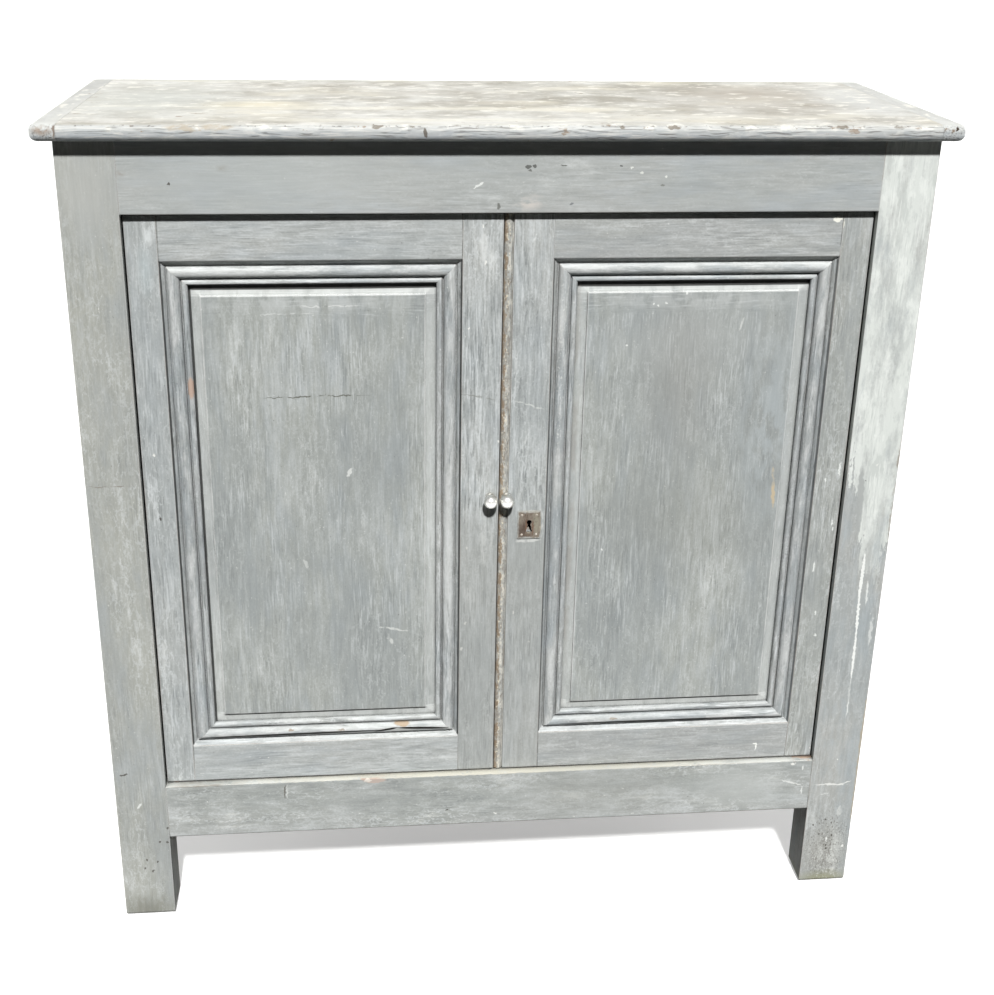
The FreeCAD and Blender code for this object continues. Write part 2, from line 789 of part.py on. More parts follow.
def knob_socket(name, x):
    depth_y = (door_face - size.overrun, door_face + size.knob_stem_length + size.pivot_end_play)
    return level_rod(name, size.knob_stem_radius + size.knob_stem_clearance, x, depth_y, size.knob_height)


def pivot_sockets(side, sign):
    """Bores in a hinge stile's ends for the pins that it turns on."""
    depth = size.pivot_reach + size.pivot_end_play
    ends = {"upper": (door_z[1] - depth, door_z[1] + size.overrun),
            "lower": (door_z[0] - size.overrun, door_z[0] + depth)}
    return [upright_rod(f"{side}_{end}_pivot_socket", pivot_bore_radius, sign * pivot_outward, pivot_y, z)
            for end, z in ends.items()]


def make_door(side, sign, meeting_edge, meeting_cutters):
    """The frame, panel and mouldings of one door; meeting_edge is its meeting stile's outward place."""
    label = f"{side}_door"
    sight_edge = meeting_edge + size.meeting_stile_width
    sight_x = sided(sign, sight_edge, stile_edge)
    play = size.mortise_play
    overrun = size.overrun
    make_stile(f"{label}_hinge_stile", sided(sign, stile_edge, hinge_edge),
               sided(sign, stile_edge - overrun, stile_edge + size.groove_depth),
               sided(sign, stile_edge - overrun, stile_edge + size.door_tenon_length + play),
               pivot_sockets(side, sign))
    make_stile(f"{label}_meeting_stile", sided(sign, meeting_edge, sight_edge),
               sided(sign, sight_edge - size.groove_depth, sight_edge + overrun),
               sided(sign, sight_edge - size.door_tenon_length - play, sight_edge + overrun),
               meeting_cutters)
    make_door_rail(f"{label}_top_rail", sight_x, (sight_z[1], door_z[1]),
                   (sight_z[1] - overrun, sight_z[1] + size.groove_depth))
    make_door_rail(f"{label}_bottom_rail", sight_x, (door_z[0], sight_z[0]),
                   (sight_z[0] - size.groove_depth, sight_z[0] + overrun))
    make_panel(f"{label}_panel", sight_x)
    wide = sight_x[1] - sight_x[0]
    high = sight_z[1] - sight_z[0]
    middle_x = (sight_x[0] + sight_x[1]) / 2
    middle_z = (sight_z[0] + sight_z[1]) / 2
    low_side, high_side = ("meeting_side", "hinge_side")[::sign]
    make_moulding(f"{label}_bottom_moulding", wide, middle_x, sight_z[0], 0)
    make_moulding(f"{label}_{low_side}_moulding", high, sight_x[0], middle_z, QUARTER_TURN)
    make_moulding(f"{label}_top_moulding", wide, middle_x, sight_z[1], HALF_TURN)
    make_moulding(f"{label}_{high_side}_moulding", high, sight_x[1], middle_z, -QUARTER_TURN)


def keyhole_outline(body, name, ease):
    """A round head over a slot that widens downward, eased outward all round."""
    neck = size.keyhole_neck_half_width + ease
    foot = size.keyhole_foot_half_width + ease
    return outline(body, name, "XZ_Plane", [
        (-foot, -size.keyhole_foot_drop - ease),
        (foot, -size.keyhole_foot_drop - ease),
        (neck, -size.keyhole_neck_drop, (0, size.keyhole_head + ease)),
        (-neck, -size.keyhole_neck_drop),
    ])


keyhole_x = right_meeting_edge + size.keyhole_inset


def keyway(name, y):
    """A keyhole-shaped cutter through a span of Y."""
    body = new_body(name, keyhole_x, y[1], size.keyhole_height)
    pad(body, keyhole_outline(body, f"{name}_outline", size.keyhole_ease), y[1] - y[0])
    return body


left_knob_x = -(left_meeting_edge + size.left_knob_inset)
right_knob_x = right_meeting_edge + size.right_knob_inset
bead_edge = right_meeting_edge + size.meeting_bead_width

make_door("left", -1, left_meeting_edge, [knob_socket("left_knob_socket", left_knob_x)])
make_knob("left_door_knob", left_knob_x)
make_door("right", 1, bead_edge, [keyway("stile_keyway", grow(door_y, size.overrun))])
make_knob("right_door_knob", right_knob_x)


# Bead along the right door's meeting edge

def make_meeting_bead(label):
    body = new_body(f"{label}_blank", right_meeting_edge, door_face, door_z[0])
    round_width = size.meeting_bead_width - size.meeting_bead_quirk
    section = outline(body, f"{label}_section", "XY_Plane", [
        (0, size.meeting_bead_drop, (round_width / 2, 0)),
        (round_width, size.meeting_bead_drop),
        (size.meeting_bead_width, size.meeting_bead_drop),
        (size.meeting_bead_width, size.door_thickness),
        (0, size.door_thickness),
    ])
    pad(body, section, door_z[1] - door_z[0])
    node(cut(label, body, [knob_socket("right_knob_socket", right_knob_x)]), label)


make_meeting_bead("right_door_meeting_bead")


# Keyhole plate outside, lock case inside, and the bolt that slides behind the left door

def make_keyhole_plate(label):
    body = new_body(label, keyhole_x, door_face, size.keyhole_height)
    plate_low = -size.keyhole_plate_height / 2 - size.keyhole_plate_drop
    shape = rectangle(body, f"{label}_outline", "XZ_Plane", centred(size.keyhole_plate_width),
                      (plate_low, plate_low + size.keyhole_plate_height))
    plate = pad(body, shape, size.keyhole_plate_thickness)
    corner_limit = size.keyhole_plate_width * FILLET_LIMIT_SHARE
    dress("Fillet", body, plate, "Radius", smaller(size.keyhole_plate_corner_radius, corner_limit),
          lambda middle, limits: limits.YMin + NEAR < middle.y < limits.YMax - NEAR)
    pocket(body, keyhole_outline(body, f"{label}_keyhole", 0))
    node(body, label)


def make_lock():
    lock_x = (right_meeting_edge + size.lock_inset, right_meeting_edge + size.lock_inset + size.lock_width)
    lock_y = (door_back, door_back + size.lock_depth)
    lock_z = grow((size.keyhole_height, size.keyhole_height), size.lock_height / 2)
    bolt_x = (lock_x[0], lock_x[0] + size.lock_bolt_length)
    bolt_front = door_back + size.lock_plate_thickness + size.lock_bolt_clearance
    bolt_y = (bolt_front, bolt_front + size.lock_bolt_thickness)
    bolt_low = size.keyhole_height + size.lock_bolt_rise
    bolt_z = (bolt_low, bolt_low + size.lock_bolt_height)
    channel_x = (lock_x[0] - size.overrun, bolt_x[1] + size.lock_bolt_clearance)
    channel_y = grow(bolt_y, size.lock_bolt_clearance)
    channel = box("lock_bolt_channel", channel_x, channel_y, grow(bolt_z, size.lock_bolt_clearance))
    pocket_y = (door_back - size.overrun, channel_y[1])
    key_pocket = level_rod("key_pocket", size.key_pocket_radius, keyhole_x, pocket_y, size.keyhole_height)
    case = box("lock_case_block", lock_x, lock_y, lock_z)
    node(cut("lock_case", case, [channel, key_pocket]), "lock_case")
    talon_x = grow((keyhole_x, keyhole_x), size.talon_width / 2)
    talon_z = (bolt_low - size.overrun, bolt_low + size.talon_depth)
    talon = box("lock_bolt_talon", talon_x, grow(bolt_y, size.overrun), talon_z)
    node(cut("lock_bolt", box("lock_bolt_bar", bolt_x, bolt_y, bolt_z), [talon]), "lock_bolt")


make_keyhole_plate("keyhole_plate")
make_lock()


# Upright bolt inside the left door, which slides up behind the top rail

def make_door_bolt():
    middle_x = -(left_meeting_edge + size.bolt_plate_inset)
    plate_high = door_z[1] - size.bolt_plate_drop
    plate_z = (plate_high - size.bolt_plate_height, plate_high)
    plate_y = (door_back, door_back + size.bolt_plate_thickness)
    bolt_front = plate_y[1] + size.door_bolt_clearance
    bolt_y = (bolt_front, bolt_front + size.door_bolt_thickness)
    bolt_x = grow((middle_x, middle_x), size.door_bolt_width / 2)
    bolt_high = door_z[1] - size.door_bolt_drop
    bolt_z = (bolt_high - size.door_bolt_length, bolt_high)
    channel_x = grow(bolt_x, size.door_bolt_clearance)
    channel_y = (plate_y[1], bolt_y[1] + size.door_bolt_clearance)
    staple_x = grow(channel_x, size.staple_wall)
    staple_y = (plate_y[1], channel_y[1] + size.staple_wall)
    upper_low = plate_z[1] - size.upper_staple_inset - size.staple_height
    lower_low = plate_z[0] + size.lower_staple_inset
    plate = [box("bolt_plate_sheet", grow((middle_x, middle_x), size.bolt_plate_width / 2), plate_y, plate_z)]
    for name, low in (("upper", upper_low), ("lower", lower_low)):
        staple = box(f"{name}_staple_block", staple_x, staple_y, (low, low + size.staple_height))
        gap = box(f"{name}_staple_gap", channel_x, channel_y,
                  grow((low, low + size.staple_height), size.overrun))
        plate.append(cut(f"{name}_staple", staple, [gap]))
    node(fuse("left_door_bolt_plate", plate), "left_door_bolt_plate")
    knob_y = (bolt_y[1], bolt_y[1] + size.door_bolt_knob_length)
    knob = level_rod("door_bolt_knob", size.door_bolt_knob_radius, middle_x, knob_y,
                     bolt_z[0] + size.door_bolt_knob_rise)
    node(fuse("left_door_bolt", [box("door_bolt_bar", bolt_x, bolt_y, bolt_z), knob]), "left_door_bolt")


make_door_bolt()


# Check every piece, then write it

doc.recompute()
broken = [thing.Name for thing in doc.Objects if {"Invalid", "Error"} & set(thing.State)]
broken += [piece.Label for piece in nodes if piece.Shape.isNull() or not piece.Shape.isValid()]
if broken:
    raise RuntimeError("failed to build: " + ", ".join(broken))
os.makedirs("parts", exist_ok=True)
for piece in nodes:
    piece.Shape.exportStep(f"parts/{piece.Label}.step")
    print(f"{piece.Label}: {len(piece.Shape.Solids)} solid, {piece.Shape.Volume:.0f} mm3")
print(f"{len(nodes)} nodes")
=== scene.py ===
import math
from functools import partial

import bmesh
import bpy
from mathutils import Matrix, Vector


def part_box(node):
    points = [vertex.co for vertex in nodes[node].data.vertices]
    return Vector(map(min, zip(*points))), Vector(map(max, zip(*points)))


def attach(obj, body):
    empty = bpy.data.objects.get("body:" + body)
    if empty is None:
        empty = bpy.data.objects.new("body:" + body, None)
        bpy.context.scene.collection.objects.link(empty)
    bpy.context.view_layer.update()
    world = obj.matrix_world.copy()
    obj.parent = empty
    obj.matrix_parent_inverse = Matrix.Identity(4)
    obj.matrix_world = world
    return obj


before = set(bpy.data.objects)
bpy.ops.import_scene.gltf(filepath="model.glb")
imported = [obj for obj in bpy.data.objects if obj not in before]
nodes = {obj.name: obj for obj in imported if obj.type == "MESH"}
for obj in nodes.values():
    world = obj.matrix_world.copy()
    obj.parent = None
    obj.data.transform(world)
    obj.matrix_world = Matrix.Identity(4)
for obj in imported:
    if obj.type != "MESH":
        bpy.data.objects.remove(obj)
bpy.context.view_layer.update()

print("frame loaded:", len(nodes), "pieces")


def linear(hexCode):  # sRGB hex to the linear colour that the sockets take
    parts = [int(hexCode[i:i + 2], 16) / 255 for i in (1, 3, 5)]
    return tuple(p / 12.92 if p <= 0.04045 else ((p + 0.055) / 1.055) ** 2.4 for p in parts) + (1.0,)


def perMm(size):  # texture scale whose features are this many millimetres apart, in metre coordinates
    return 1000 / size


def metres(sizes):
    return [size / 1000 for size in sizes]


def along(axis, ratio):  # mapping scale that draws a pattern out along one axis
    return tuple(1 / ratio if letter == axis else 1.0 for letter in "XYZ")


def addNode(tree, kind, inputs=None, **settings):  # adds one node with its settings, values and links
    node = tree.nodes.new("ShaderNode" + kind)
    for key, value in settings.items():
        setattr(node, key, value)
    for key, value in (inputs or {}).items():
        named = (each for each in node.inputs if each.name == key and each.enabled)
        socket = node.inputs[key] if isinstance(key, int) else next(named)
        if isinstance(value, bpy.types.Node):
            value = next(each for each in value.outputs if each.enabled)
        if isinstance(value, bpy.types.NodeSocket):
            tree.links.new(value, socket)
        else:
            socket.default_value = value
    return node


def newMaterial(name):  # an empty material, and the function above set to add nodes to it
    material = bpy.data.materials.new(name)
    material.use_nodes = True
    material.node_tree.nodes.clear()
    return material, partial(addNode, material.node_tree)


def finished(material, add, inputs):
    add("OutputMaterial", {"Surface": add("BsdfPrincipled", inputs)})
    return material


def dress(material, *names):
    for name in names:
        for slot in nodes[name].material_slots:
            slot.material = material


def shift(add, point, size, reach, detail=2.0):  # the point pushed about by millimetres, so patterns waver
    noise = add("TexNoise", {"Vector": point, "Scale": perMm(size), "Detail": detail})
    centred = add("VectorMath", {0: noise.outputs["Color"], 1: (0.5, 0.5, 0.5)}, operation="SUBTRACT")
    return add("VectorMath", {0: centred, 1: (reach / 500,) * 3, 2: point}, operation="MULTIPLY_ADD")


def strokes(add, point, grain, size, ratio, detail, roughness=0.55):  # noise drawn out along the grain
    drawn = add("Mapping", {"Vector": point, "Scale": along(grain, ratio)})
    return add("TexNoise", {"Vector": drawn, "Scale": perMm(size), "Detail": detail, "Roughness": roughness})


# Lays a coat over a colour where a pattern runs from start to end, held back by any masks.
def laid(add, colour, coat, pattern, start, end, amount=1.0, *masks):
    share = add("MapRange", {"Value": pattern, "From Min": start, "From Max": end, "To Max": amount})
    for mask in masks:
        share = add("Math", {0: share, 1: mask}, operation="MULTIPLY")
    coat = linear(coat) if isinstance(coat, str) else coat
    return add("Mix", {"Factor": share, "A": colour, "B": coat}, data_type="RGBA")


# Single knocks, scratches, runs, bare spots and painted shadows. Each row gives its kind, the middle and
# half sizes of an oval in millimetres, the colour, then how strong it is, its turn in degrees and how much
# of it is solid.
# A straight one keeps its shape, a fine or torn one has a ragged rim, and the rest show in scraps.
def markedOver(add, colour, marks, places, breakers):
    for kind, middle, size, coat, *rest in marks:
        amount, turn, core = rest + [1.0, 0, 0.75][len(rest):]  # what a row leaves out
        near = add("Mapping", {"Vector": places.get(kind, places["torn"]), "Location": metres(middle),
                               "Scale": metres(size), "Rotation": (0, math.radians(turn), 0)},
                   vector_type="TEXTURE")
        inside = add("VectorMath", {0: near}, operation="LENGTH").outputs["Value"]
        gaps = []
        if kind in breakers:
            pattern, start, end = breakers[kind]
            gaps.append(add("MapRange", {"Value": pattern, "From Min": start, "From Max": end}))
        colour = laid(add, colour, coat, inside, 1.0, core, amount, *gaps)
    return colour


# Softwood never painted, darkened by a century of air: brown growth rings and grey dust in the pores.
agedPine = {
    "early": "#B09979", "late": "#8E7353", "dust": "#7F705E", "stainAndShade": "#5C4836",
    "ringMm": 8, "ringSpread": 5, "ringCount": 12, "grainRatio": 22, "poreMm": 1.4, "cloudMm": 160,
    "roundMm": 1.5, "hollowReachMm": 30, "bumpMm": 0.6, "roughness": 0.78, "marks": (),
}


def pineColour(add, point, grain, look):
    drawn = add("Mapping", {"Vector": point, "Scale": along(grain, look["grainRatio"])})
    rings = add("TexNoise", {"Vector": drawn, "Scale": perMm(look["ringMm"] * look["ringSpread"]),
                             "Detail": 1.5, "Distortion": 0.3})
    rings = add("Math", {0: rings, 1: look["ringCount"]}, operation="MULTIPLY")
    rings = add("Math", {0: rings, 1: 0.5}, operation="PINGPONG")
    rings = add("MapRange", {"Value": rings, "From Min": 0.1, "From Max": 0.5},
                interpolation_type="SMOOTHSTEP")
    pores = add("TexNoise", {"Vector": drawn, "Scale": perMm(look["poreMm"]), "Detail": 3.0})
    pores = add("MapRange", {"Value": pores, "From Min": 0.52, "From Max": 0.7, "To Max": 0.5})
    cloud = add("TexNoise", {"Vector": point, "Scale": perMm(look["cloudMm"]), "Detail": 4.0,
                             "Roughness": 0.6})
    wood = add("Mix", {"Factor": rings, "A": linear(look["early"]), "B": linear(look["late"])},
               data_type="RGBA")
    wood = laid(add, wood, look["dust"], cloud, 0.4, 0.7, 0.7)
    wood = add("Mix", {"Factor": pores, "A": wood, "B": linear(look["stainAndShade"])}, data_type="RGBA")
    return wood, pores


def barePine(name, grain, changes=None):
    look = {**agedPine, **(changes or {})}
    material, add = newMaterial(name)
    place = add("TexCoord").outputs["Object"]
    wood, pores = pineColour(add, shift(add, place, 120, 5), grain, look)
    wood = markedOver(add, wood, look["marks"], {"torn": shift(add, place, 6, 2)}, {})
    # painted shade: corners and recesses darkened towards the stain colour by an occlusion test
    corner = add("AmbientOcclusion", {"Distance": look["hollowReachMm"] / 1000}, samples=6)
    wood = laid(add, wood, look["stainAndShade"], corner.outputs["AO"], 0.75, 0.2, 0.5)
    rounded = add("Bevel", {"Radius": look["roundMm"] / 1000}, samples=4)
    bump = add("Bump", {"Strength": 0.35, "Distance": look["bumpMm"] / 1000, "Height": pores,
                        "Normal": rounded}, invert=True)
    return finished(material, add, {"Base Color": wood, "Roughness": look["roughness"], "Normal": bump,
                                    "Specular IOR Level": 0.3})


# Oil paint brushed on softwood and left for decades: the hairs left crisp pale ridges and dark grooves in
# some stretches and flowed smooth in others. It is rubbed to a white undercoat and then to wood along each
# arris, with grime and painted shade in the corners, and faces turned up are paler, partly from wear and
# partly painted light. Real hair lines are finer and are drawn coarser to show.
greyPaint = {
    "grain": "Z", "coat": "#A9ADAC", "warm": "#ABADAA", "cool": "#A9AEAF", "thin": "#7A7E7D",
    "chalk": "#D2D6D6", "undercoat": "#DEE0DD", "wood": "#8E7760", "grimeAndShade": "#262625", "fleck": "#ECECE6",
    "pit": "#3A332C", "joint": "#6F726F",
    "hairMm": 2.2, "hairRatio": 15, "combMm": 48, "sweepMm": 6, "sweepRatio": 12, "mottleMm": 17,
    "gritMm": 2.2, "patchMm": 42, "cloudMm": 170, "wrinkleMm": 9, "fleckMm": 24, "fleckShare": 0.34,
    "roundMm": 3, "hollowReachMm": 12, "bumpMm": 1.2, "jointMm": 1.1, "headMm": (34, 24), "bevelMm": 3,
    "arrisMm": (1.8, 0.6),
    "hairs": 0.4, "sweep": 0.22, "mottle": 0.2, "grit": 0.14, "cloud": 0.22, "specks": 0.5, "wrinkles": 0.45,
    "dark": 0.6, "light": 0.6, "worn": 0.5, "edge": 0.8, "edgeWood": 0.5, "ledgeWearAndLight": 0.75, "dirtAndShade": 0.85,
    "flecks": 0.8, "roughness": 0.62, "marks": (), "joints": (), "crest": None, "field": None,
    "bareBeyond": None, "overpaint": None,
}


def brushedPaint(name, changes=None):
    look = {**greyPaint, **(changes or {})}
    material, add = newMaterial(name)
    place = add("TexCoord")
    straight = place.outputs["Object"]
    spot = add("SeparateXYZ", {"Vector": straight})
    point = shift(add, straight, 110, 3)
    torn = shift(add, straight, 9, 4, 4.0)
    flaked = shift(add, straight, 4, 3, 3.0)
    grain = look["grain"]
    hairs = strokes(add, point, grain, look["hairMm"], look["hairRatio"], 3.0)
    if look["field"]:  # the head of a panel was brushed level before the rest was laid off upright
        fieldLow, fieldHigh = look["field"]
        start, end = [fieldHigh[1] - depth for depth in metres(look["headMm"])]
        level = strokes(add, point, "X", look["hairMm"], look["hairRatio"], 3.0)
        head = add("MapRange", {"Value": spot.outputs["Z"], "From Min": start, "From Max": end})
        hairs = add("Mix", {"Factor": head, "A": hairs, "B": level})
    sweep = strokes(add, point, grain, look["sweepMm"], look["sweepRatio"], 3.0)
    mottle = strokes(add, point, grain, look["mottleMm"], 2.5, 5.0, 0.6)
    grit = strokes(add, point, grain, look["gritMm"], 1.6, 2.0)
    patch = strokes(add, point, grain, look["patchMm"], 4, 7.0, 0.7)
    cloud = strokes(add, point, grain, look["cloudMm"], 2, 3.0)
    combed = strokes(add, point, grain, look["combMm"], 3, 3.0)
    combed = add("MapRange", {"Value": combed, "From Min": 0.44, "From Max": 0.62, "To Min": 0.15})

    streak = add("Math", {0: hairs, 1: 0.5}, operation="SUBTRACT")
    streak = add("Math", {0: streak, 1: look["hairs"] * 0.35, 2: 0.5}, operation="MULTIPLY_ADD")
    for pattern, weight in ((sweep, "sweep"), (mottle, "mottle"), (grit, "grit"), (cloud, "cloud")):
        centred = add("Math", {0: pattern, 1: 0.5}, operation="SUBTRACT")
        streak = add("Math", {0: centred, 1: look[weight], 2: streak}, operation="MULTIPLY_ADD")
    colour = laid(add, linear(look["coat"]), look["warm"], cloud, 0.42, 0.6)
    colour = laid(add, colour, look["cool"], patch, 0.52, 0.36, 0.9)
    for key, weight, end in (("thin", "dark", 0.36), ("chalk", "light", 0.64)):
        colour = laid(add, colour, look[key], streak, 0.5, end, look[weight])
    for key, start, end in (("thin", 0.43, 0.38), ("chalk", 0.57, 0.62)):  # single grooves and ridges
        colour = laid(add, colour, look[key], hairs, start, end, look["hairs"] * 1.25, combed)
    for key, start, end in (("pit", 0.27, 0.22), ("fleck", 0.7, 0.76)):  # dust and bristle ends in the coat
        colour = laid(add, colour, look[key], grit, start, end, look["specks"])
    wrinkle = strokes(add, flaked, grain, look["wrinkleMm"], 3, 2.0)  # the skin crept into small folds
    wrinkle = add("Math", {0: wrinkle, 1: 0.5, 2: 0.03}, operation="COMPARE")
    colour = laid(add, colour, look["chalk"], patch, 0.44, 0.6, look["wrinkles"], wrinkle)
    rubbed = add("MapRange", {"Value": patch, "From Min": 0.56, "From Max": 0.7, "To Max": look["worn"]},
                 interpolation_type="SMOOTHSTEP")
    colour = laid(add, colour, look["undercoat"], streak, 0.45, 0.56, 1.0, rubbed)

    if look["overpaint"]:  # a later coat from above, thin in blotches, lower on the outer side, with runs
        over = look["overpaint"]
        (turnFrom, turnTo), (innerEnd, outerEnd) = metres(over["turn"]), metres(over["ends"])
        level = add("MapRange", {"Value": spot.outputs["X"], "From Min": turnFrom, "From Max": turnTo,
                                 "To Min": innerEnd, "To Max": outerEnd})
        level = add("Math", {0: spot.outputs["Z"], 1: level}, operation="SUBTRACT")
        for size, ratio, reach in over["runs"]:
            run = strokes(add, torn, "Z", size, ratio, 4.0)
            run = add("Math", {0: run, 1: 0.5}, operation="SUBTRACT")
            level = add("Math", {0: run, 1: reach / 1000, 2: level}, operation="MULTIPLY_ADD")
        start, end = metres(over["rim"])
        cover = add("MapRange", {"Value": level, "From Min": start, "From Max": end})
        blotch = strokes(add, torn, "Z", over["blotchMm"], 5, 7.0, 0.68)
        starved = add("MapRange", {"Value": spot.outputs["Z"], "From Min": outerEnd, "From Max": innerEnd,
                                   "To Min": -0.1, "To Max": 0.02})
        starved = add("Math", {0: blotch, 1: starved}, operation="ADD")
        starved = add("MapRange", {"Value": starved, "From Min": 0.38, "From Max": 0.56,
                                   "To Min": over["thin"]})
        cover = add("Math", {0: cover, 1: starved}, operation="MULTIPLY")
        colour = add("Mix", {"Factor": cover, "A": colour, "B": linear(over["colour"])}, data_type="RGBA")
        for key, start, end in (("bare", 0.44, 0.37), ("thick", 0.56, 0.63)):  # its own brush lines
            line = add("MapRange", {"Value": hairs, "From Min": start, "From Max": end, "To Max": 0.6})
            line = add("Math", {0: line, 1: combed}, operation="MULTIPLY")
            smear = add("MapRange", {"Value": mottle, "From Min": start, "From Max": end, "To Max": 0.5})
            line = add("Math", {0: line, 1: smear}, operation="MAXIMUM")
            line = add("Math", {0: line, 1: cover}, operation="MULTIPLY")
            colour = add("Mix", {"Factor": line, "A": colour, "B": linear(over[key])}, data_type="RGBA")

    # faces turned up are paler: partly wear, partly painted light where the light falls on them
    facing = add("SeparateXYZ", {"Vector": place.outputs["Normal"]}).outputs["Z"]
    worn = add("MapRange", {"Value": mottle, "From Min": 0.36, "From Max": 0.52})
    colour = laid(add, colour, look["undercoat"], facing, 0.25, 0.7, look["ledgeWearAndLight"], worn)

    if look["field"]:  # the bevel round a raised field is paler, most at head and foot, partly rubbed and partly painted light; its arris is rubbed paler still
        bevelWidth = look["bevelMm"] / 1000
        arrisFrom, arrisTo = metres(look["arrisMm"])
        patchy = add("MapRange", {"Value": mottle, "From Min": 0.3, "From Max": 0.5, "To Min": 0.5})
        for side, (axis, pale) in enumerate((("X", 0.3), ("Z", 0.6))):
            start, end = fieldLow[side], fieldHigh[side]
            beyond = add("Math", {0: spot.outputs[axis], 1: (start + end) / 2}, operation="SUBTRACT")
            beyond = add("Math", {0: beyond}, operation="ABSOLUTE")
            beyond = add("Math", {0: beyond, 1: (end - start) / 2}, operation="SUBTRACT")
            colour = laid(add, colour, look["undercoat"], beyond, 0.0, bevelWidth, pale, patchy)
            arris = add("Math", {0: beyond}, operation="ABSOLUTE")
            colour = laid(add, colour, look["undercoat"], arris, arrisFrom, arrisTo, 0.55, worn)

    rounded = add("Bevel", {"Radius": look["roundMm"] / 1000}, samples=6)
    bend = add("VectorMath", {0: rounded, 1: add("NewGeometry").outputs["Normal"]}, operation="DOT_PRODUCT")
    bend = add("MapRange", {"Value": bend.outputs["Value"], "From Min": 1.0, "From Max": 0.84})
    ragged = add("Math", {0: patch, 1: 2.4, 2: bend}, operation="MULTIPLY_ADD")
    onEdge = add("MapRange", {"Value": bend, "From Min": 0.1, "From Max": 0.35})
    for key, weight, start, end in (("undercoat", "edge", 1.5, 1.85), ("wood", "edgeWood", 2.1, 2.3)):
        colour = laid(add, colour, look[key], ragged, start, end, look[weight], onEdge)

    if look["crest"]:  # the foremost rounds are rubbed pale, more in some places than in others
        start, end = metres(look["crest"])
        patchy = add("MapRange", {"Value": patch, "From Min": 0.46, "From Max": 0.56, "To Max": 0.55})
        colour = laid(add, colour, look["undercoat"], spot.outputs["Y"], start, end, 1.0, patchy)

    cells = add("Mapping", {"Vector": flaked, "Scale": along(grain, 1.7)})  # chips, pale ones and dark ones
    cells = add("TexVoronoi", {"Vector": cells, "Scale": perMm(look["fleckMm"])})
    chosen = add("SeparateColor", {"Color": cells.outputs["Color"]})
    spread = add("Math", {0: chosen.outputs["Green"], 1: 0.09}, operation="MULTIPLY")
    spread = add("Math", {0: spread, 1: cells.outputs["Distance"]}, operation="SUBTRACT")
    for key, limit, test in (("fleck", 1 - look["fleckShare"], "GREATER_THAN"), ("pit", 0.05, "LESS_THAN")):
        picked = add("Math", {0: chosen.outputs["Red"], 1: limit}, operation=test)
        colour = laid(add, colour, look[key], spread, 0.0, 0.015, look["flecks"], picked)

    for axis, at in look["joints"]:  # hairline where this piece's end meets the next one
        line = add("SeparateXYZ", {"Vector": point}).outputs[axis]
        line = add("Math", {0: line, 1: at / 1000, 2: look["jointMm"] / 1000}, operation="COMPARE")
        colour = laid(add, colour, look["joint"], mottle, 0.32, 0.55, 0.75, line)

    places = {"straight": straight, "fine": flaked, "torn": torn}
    breakers = {"broken": (mottle, 0.42, 0.52), "specks": (grit, 0.58, 0.64), "pits": (grit, 0.4, 0.34)}
    colour = markedOver(add, colour, look["marks"], places, breakers)

    if look["bareBeyond"]:  # the brush stopped at the edges: behind this line the wood was never painted
        axis, *line = look["bareBeyond"]
        inner = add("SeparateXYZ", {"Vector": torn}).outputs[axis]
        colour = laid(add, colour, pineColour(add, point, grain, agedPine)[0], inner, *metres(line))

    # painted shade with grime: corners and hollows darkened towards near-black by an occlusion test
    corner = add("AmbientOcclusion", {"Distance": look["hollowReachMm"] / 1000}, samples=6)
    colour = laid(add, colour, look["grimeAndShade"], corner.outputs["AO"], 0.7, 0.25, look["dirtAndShade"])

    height = add("Math", {0: patch, 1: 0.5, 2: streak}, operation="MULTIPLY_ADD")
    bump = add("Bump", {"Strength": 0.4, "Distance": look["bumpMm"] / 1000, "Height": height,
                        "Normal": rounded})
    rough = add("MapRange", {"Value": streak, "From Min": 0.4, "From Max": 0.6,
                             "To Min": look["roughness"] + 0.1, "To Max": look["roughness"] - 0.06})
    return finished(material, add, {"Base Color": colour, "Roughness": rough, "Normal": bump,
                                    "Specular IOR Level": 0.08})


# Old cream and white coats on the top, scrubbed until taupe wood ghosts through in soft blotches,
# with the rounded front edge knocked, cracked along the grain and chipped to brown.
topPaint = {
    "grain": "X", "white": "#D8D7D1", "bright": "#EAE8DF", "cream": "#D9D4C4", "grey": "#A6A6A2",
    "taupe": "#A39F94", "nose": "#C1C3C1", "under": "#A6ACB0", "wood": "#978674", "crackAndShade": "#5C564E",
    "patchMm": 52, "zoneMm": 190, "scrubMm": 8, "dabMm": 16, "chipMm": 15, "lineMm": 2.2, "knockMm": 5,
    "roundMm": 3, "hollowReachMm": 8, "bumpMm": 2,
    "greyShare": 0.24, "brightShare": 0.65, "creamShare": 0.6, "roughness": 0.58, "marks": (), "smears": (),
}


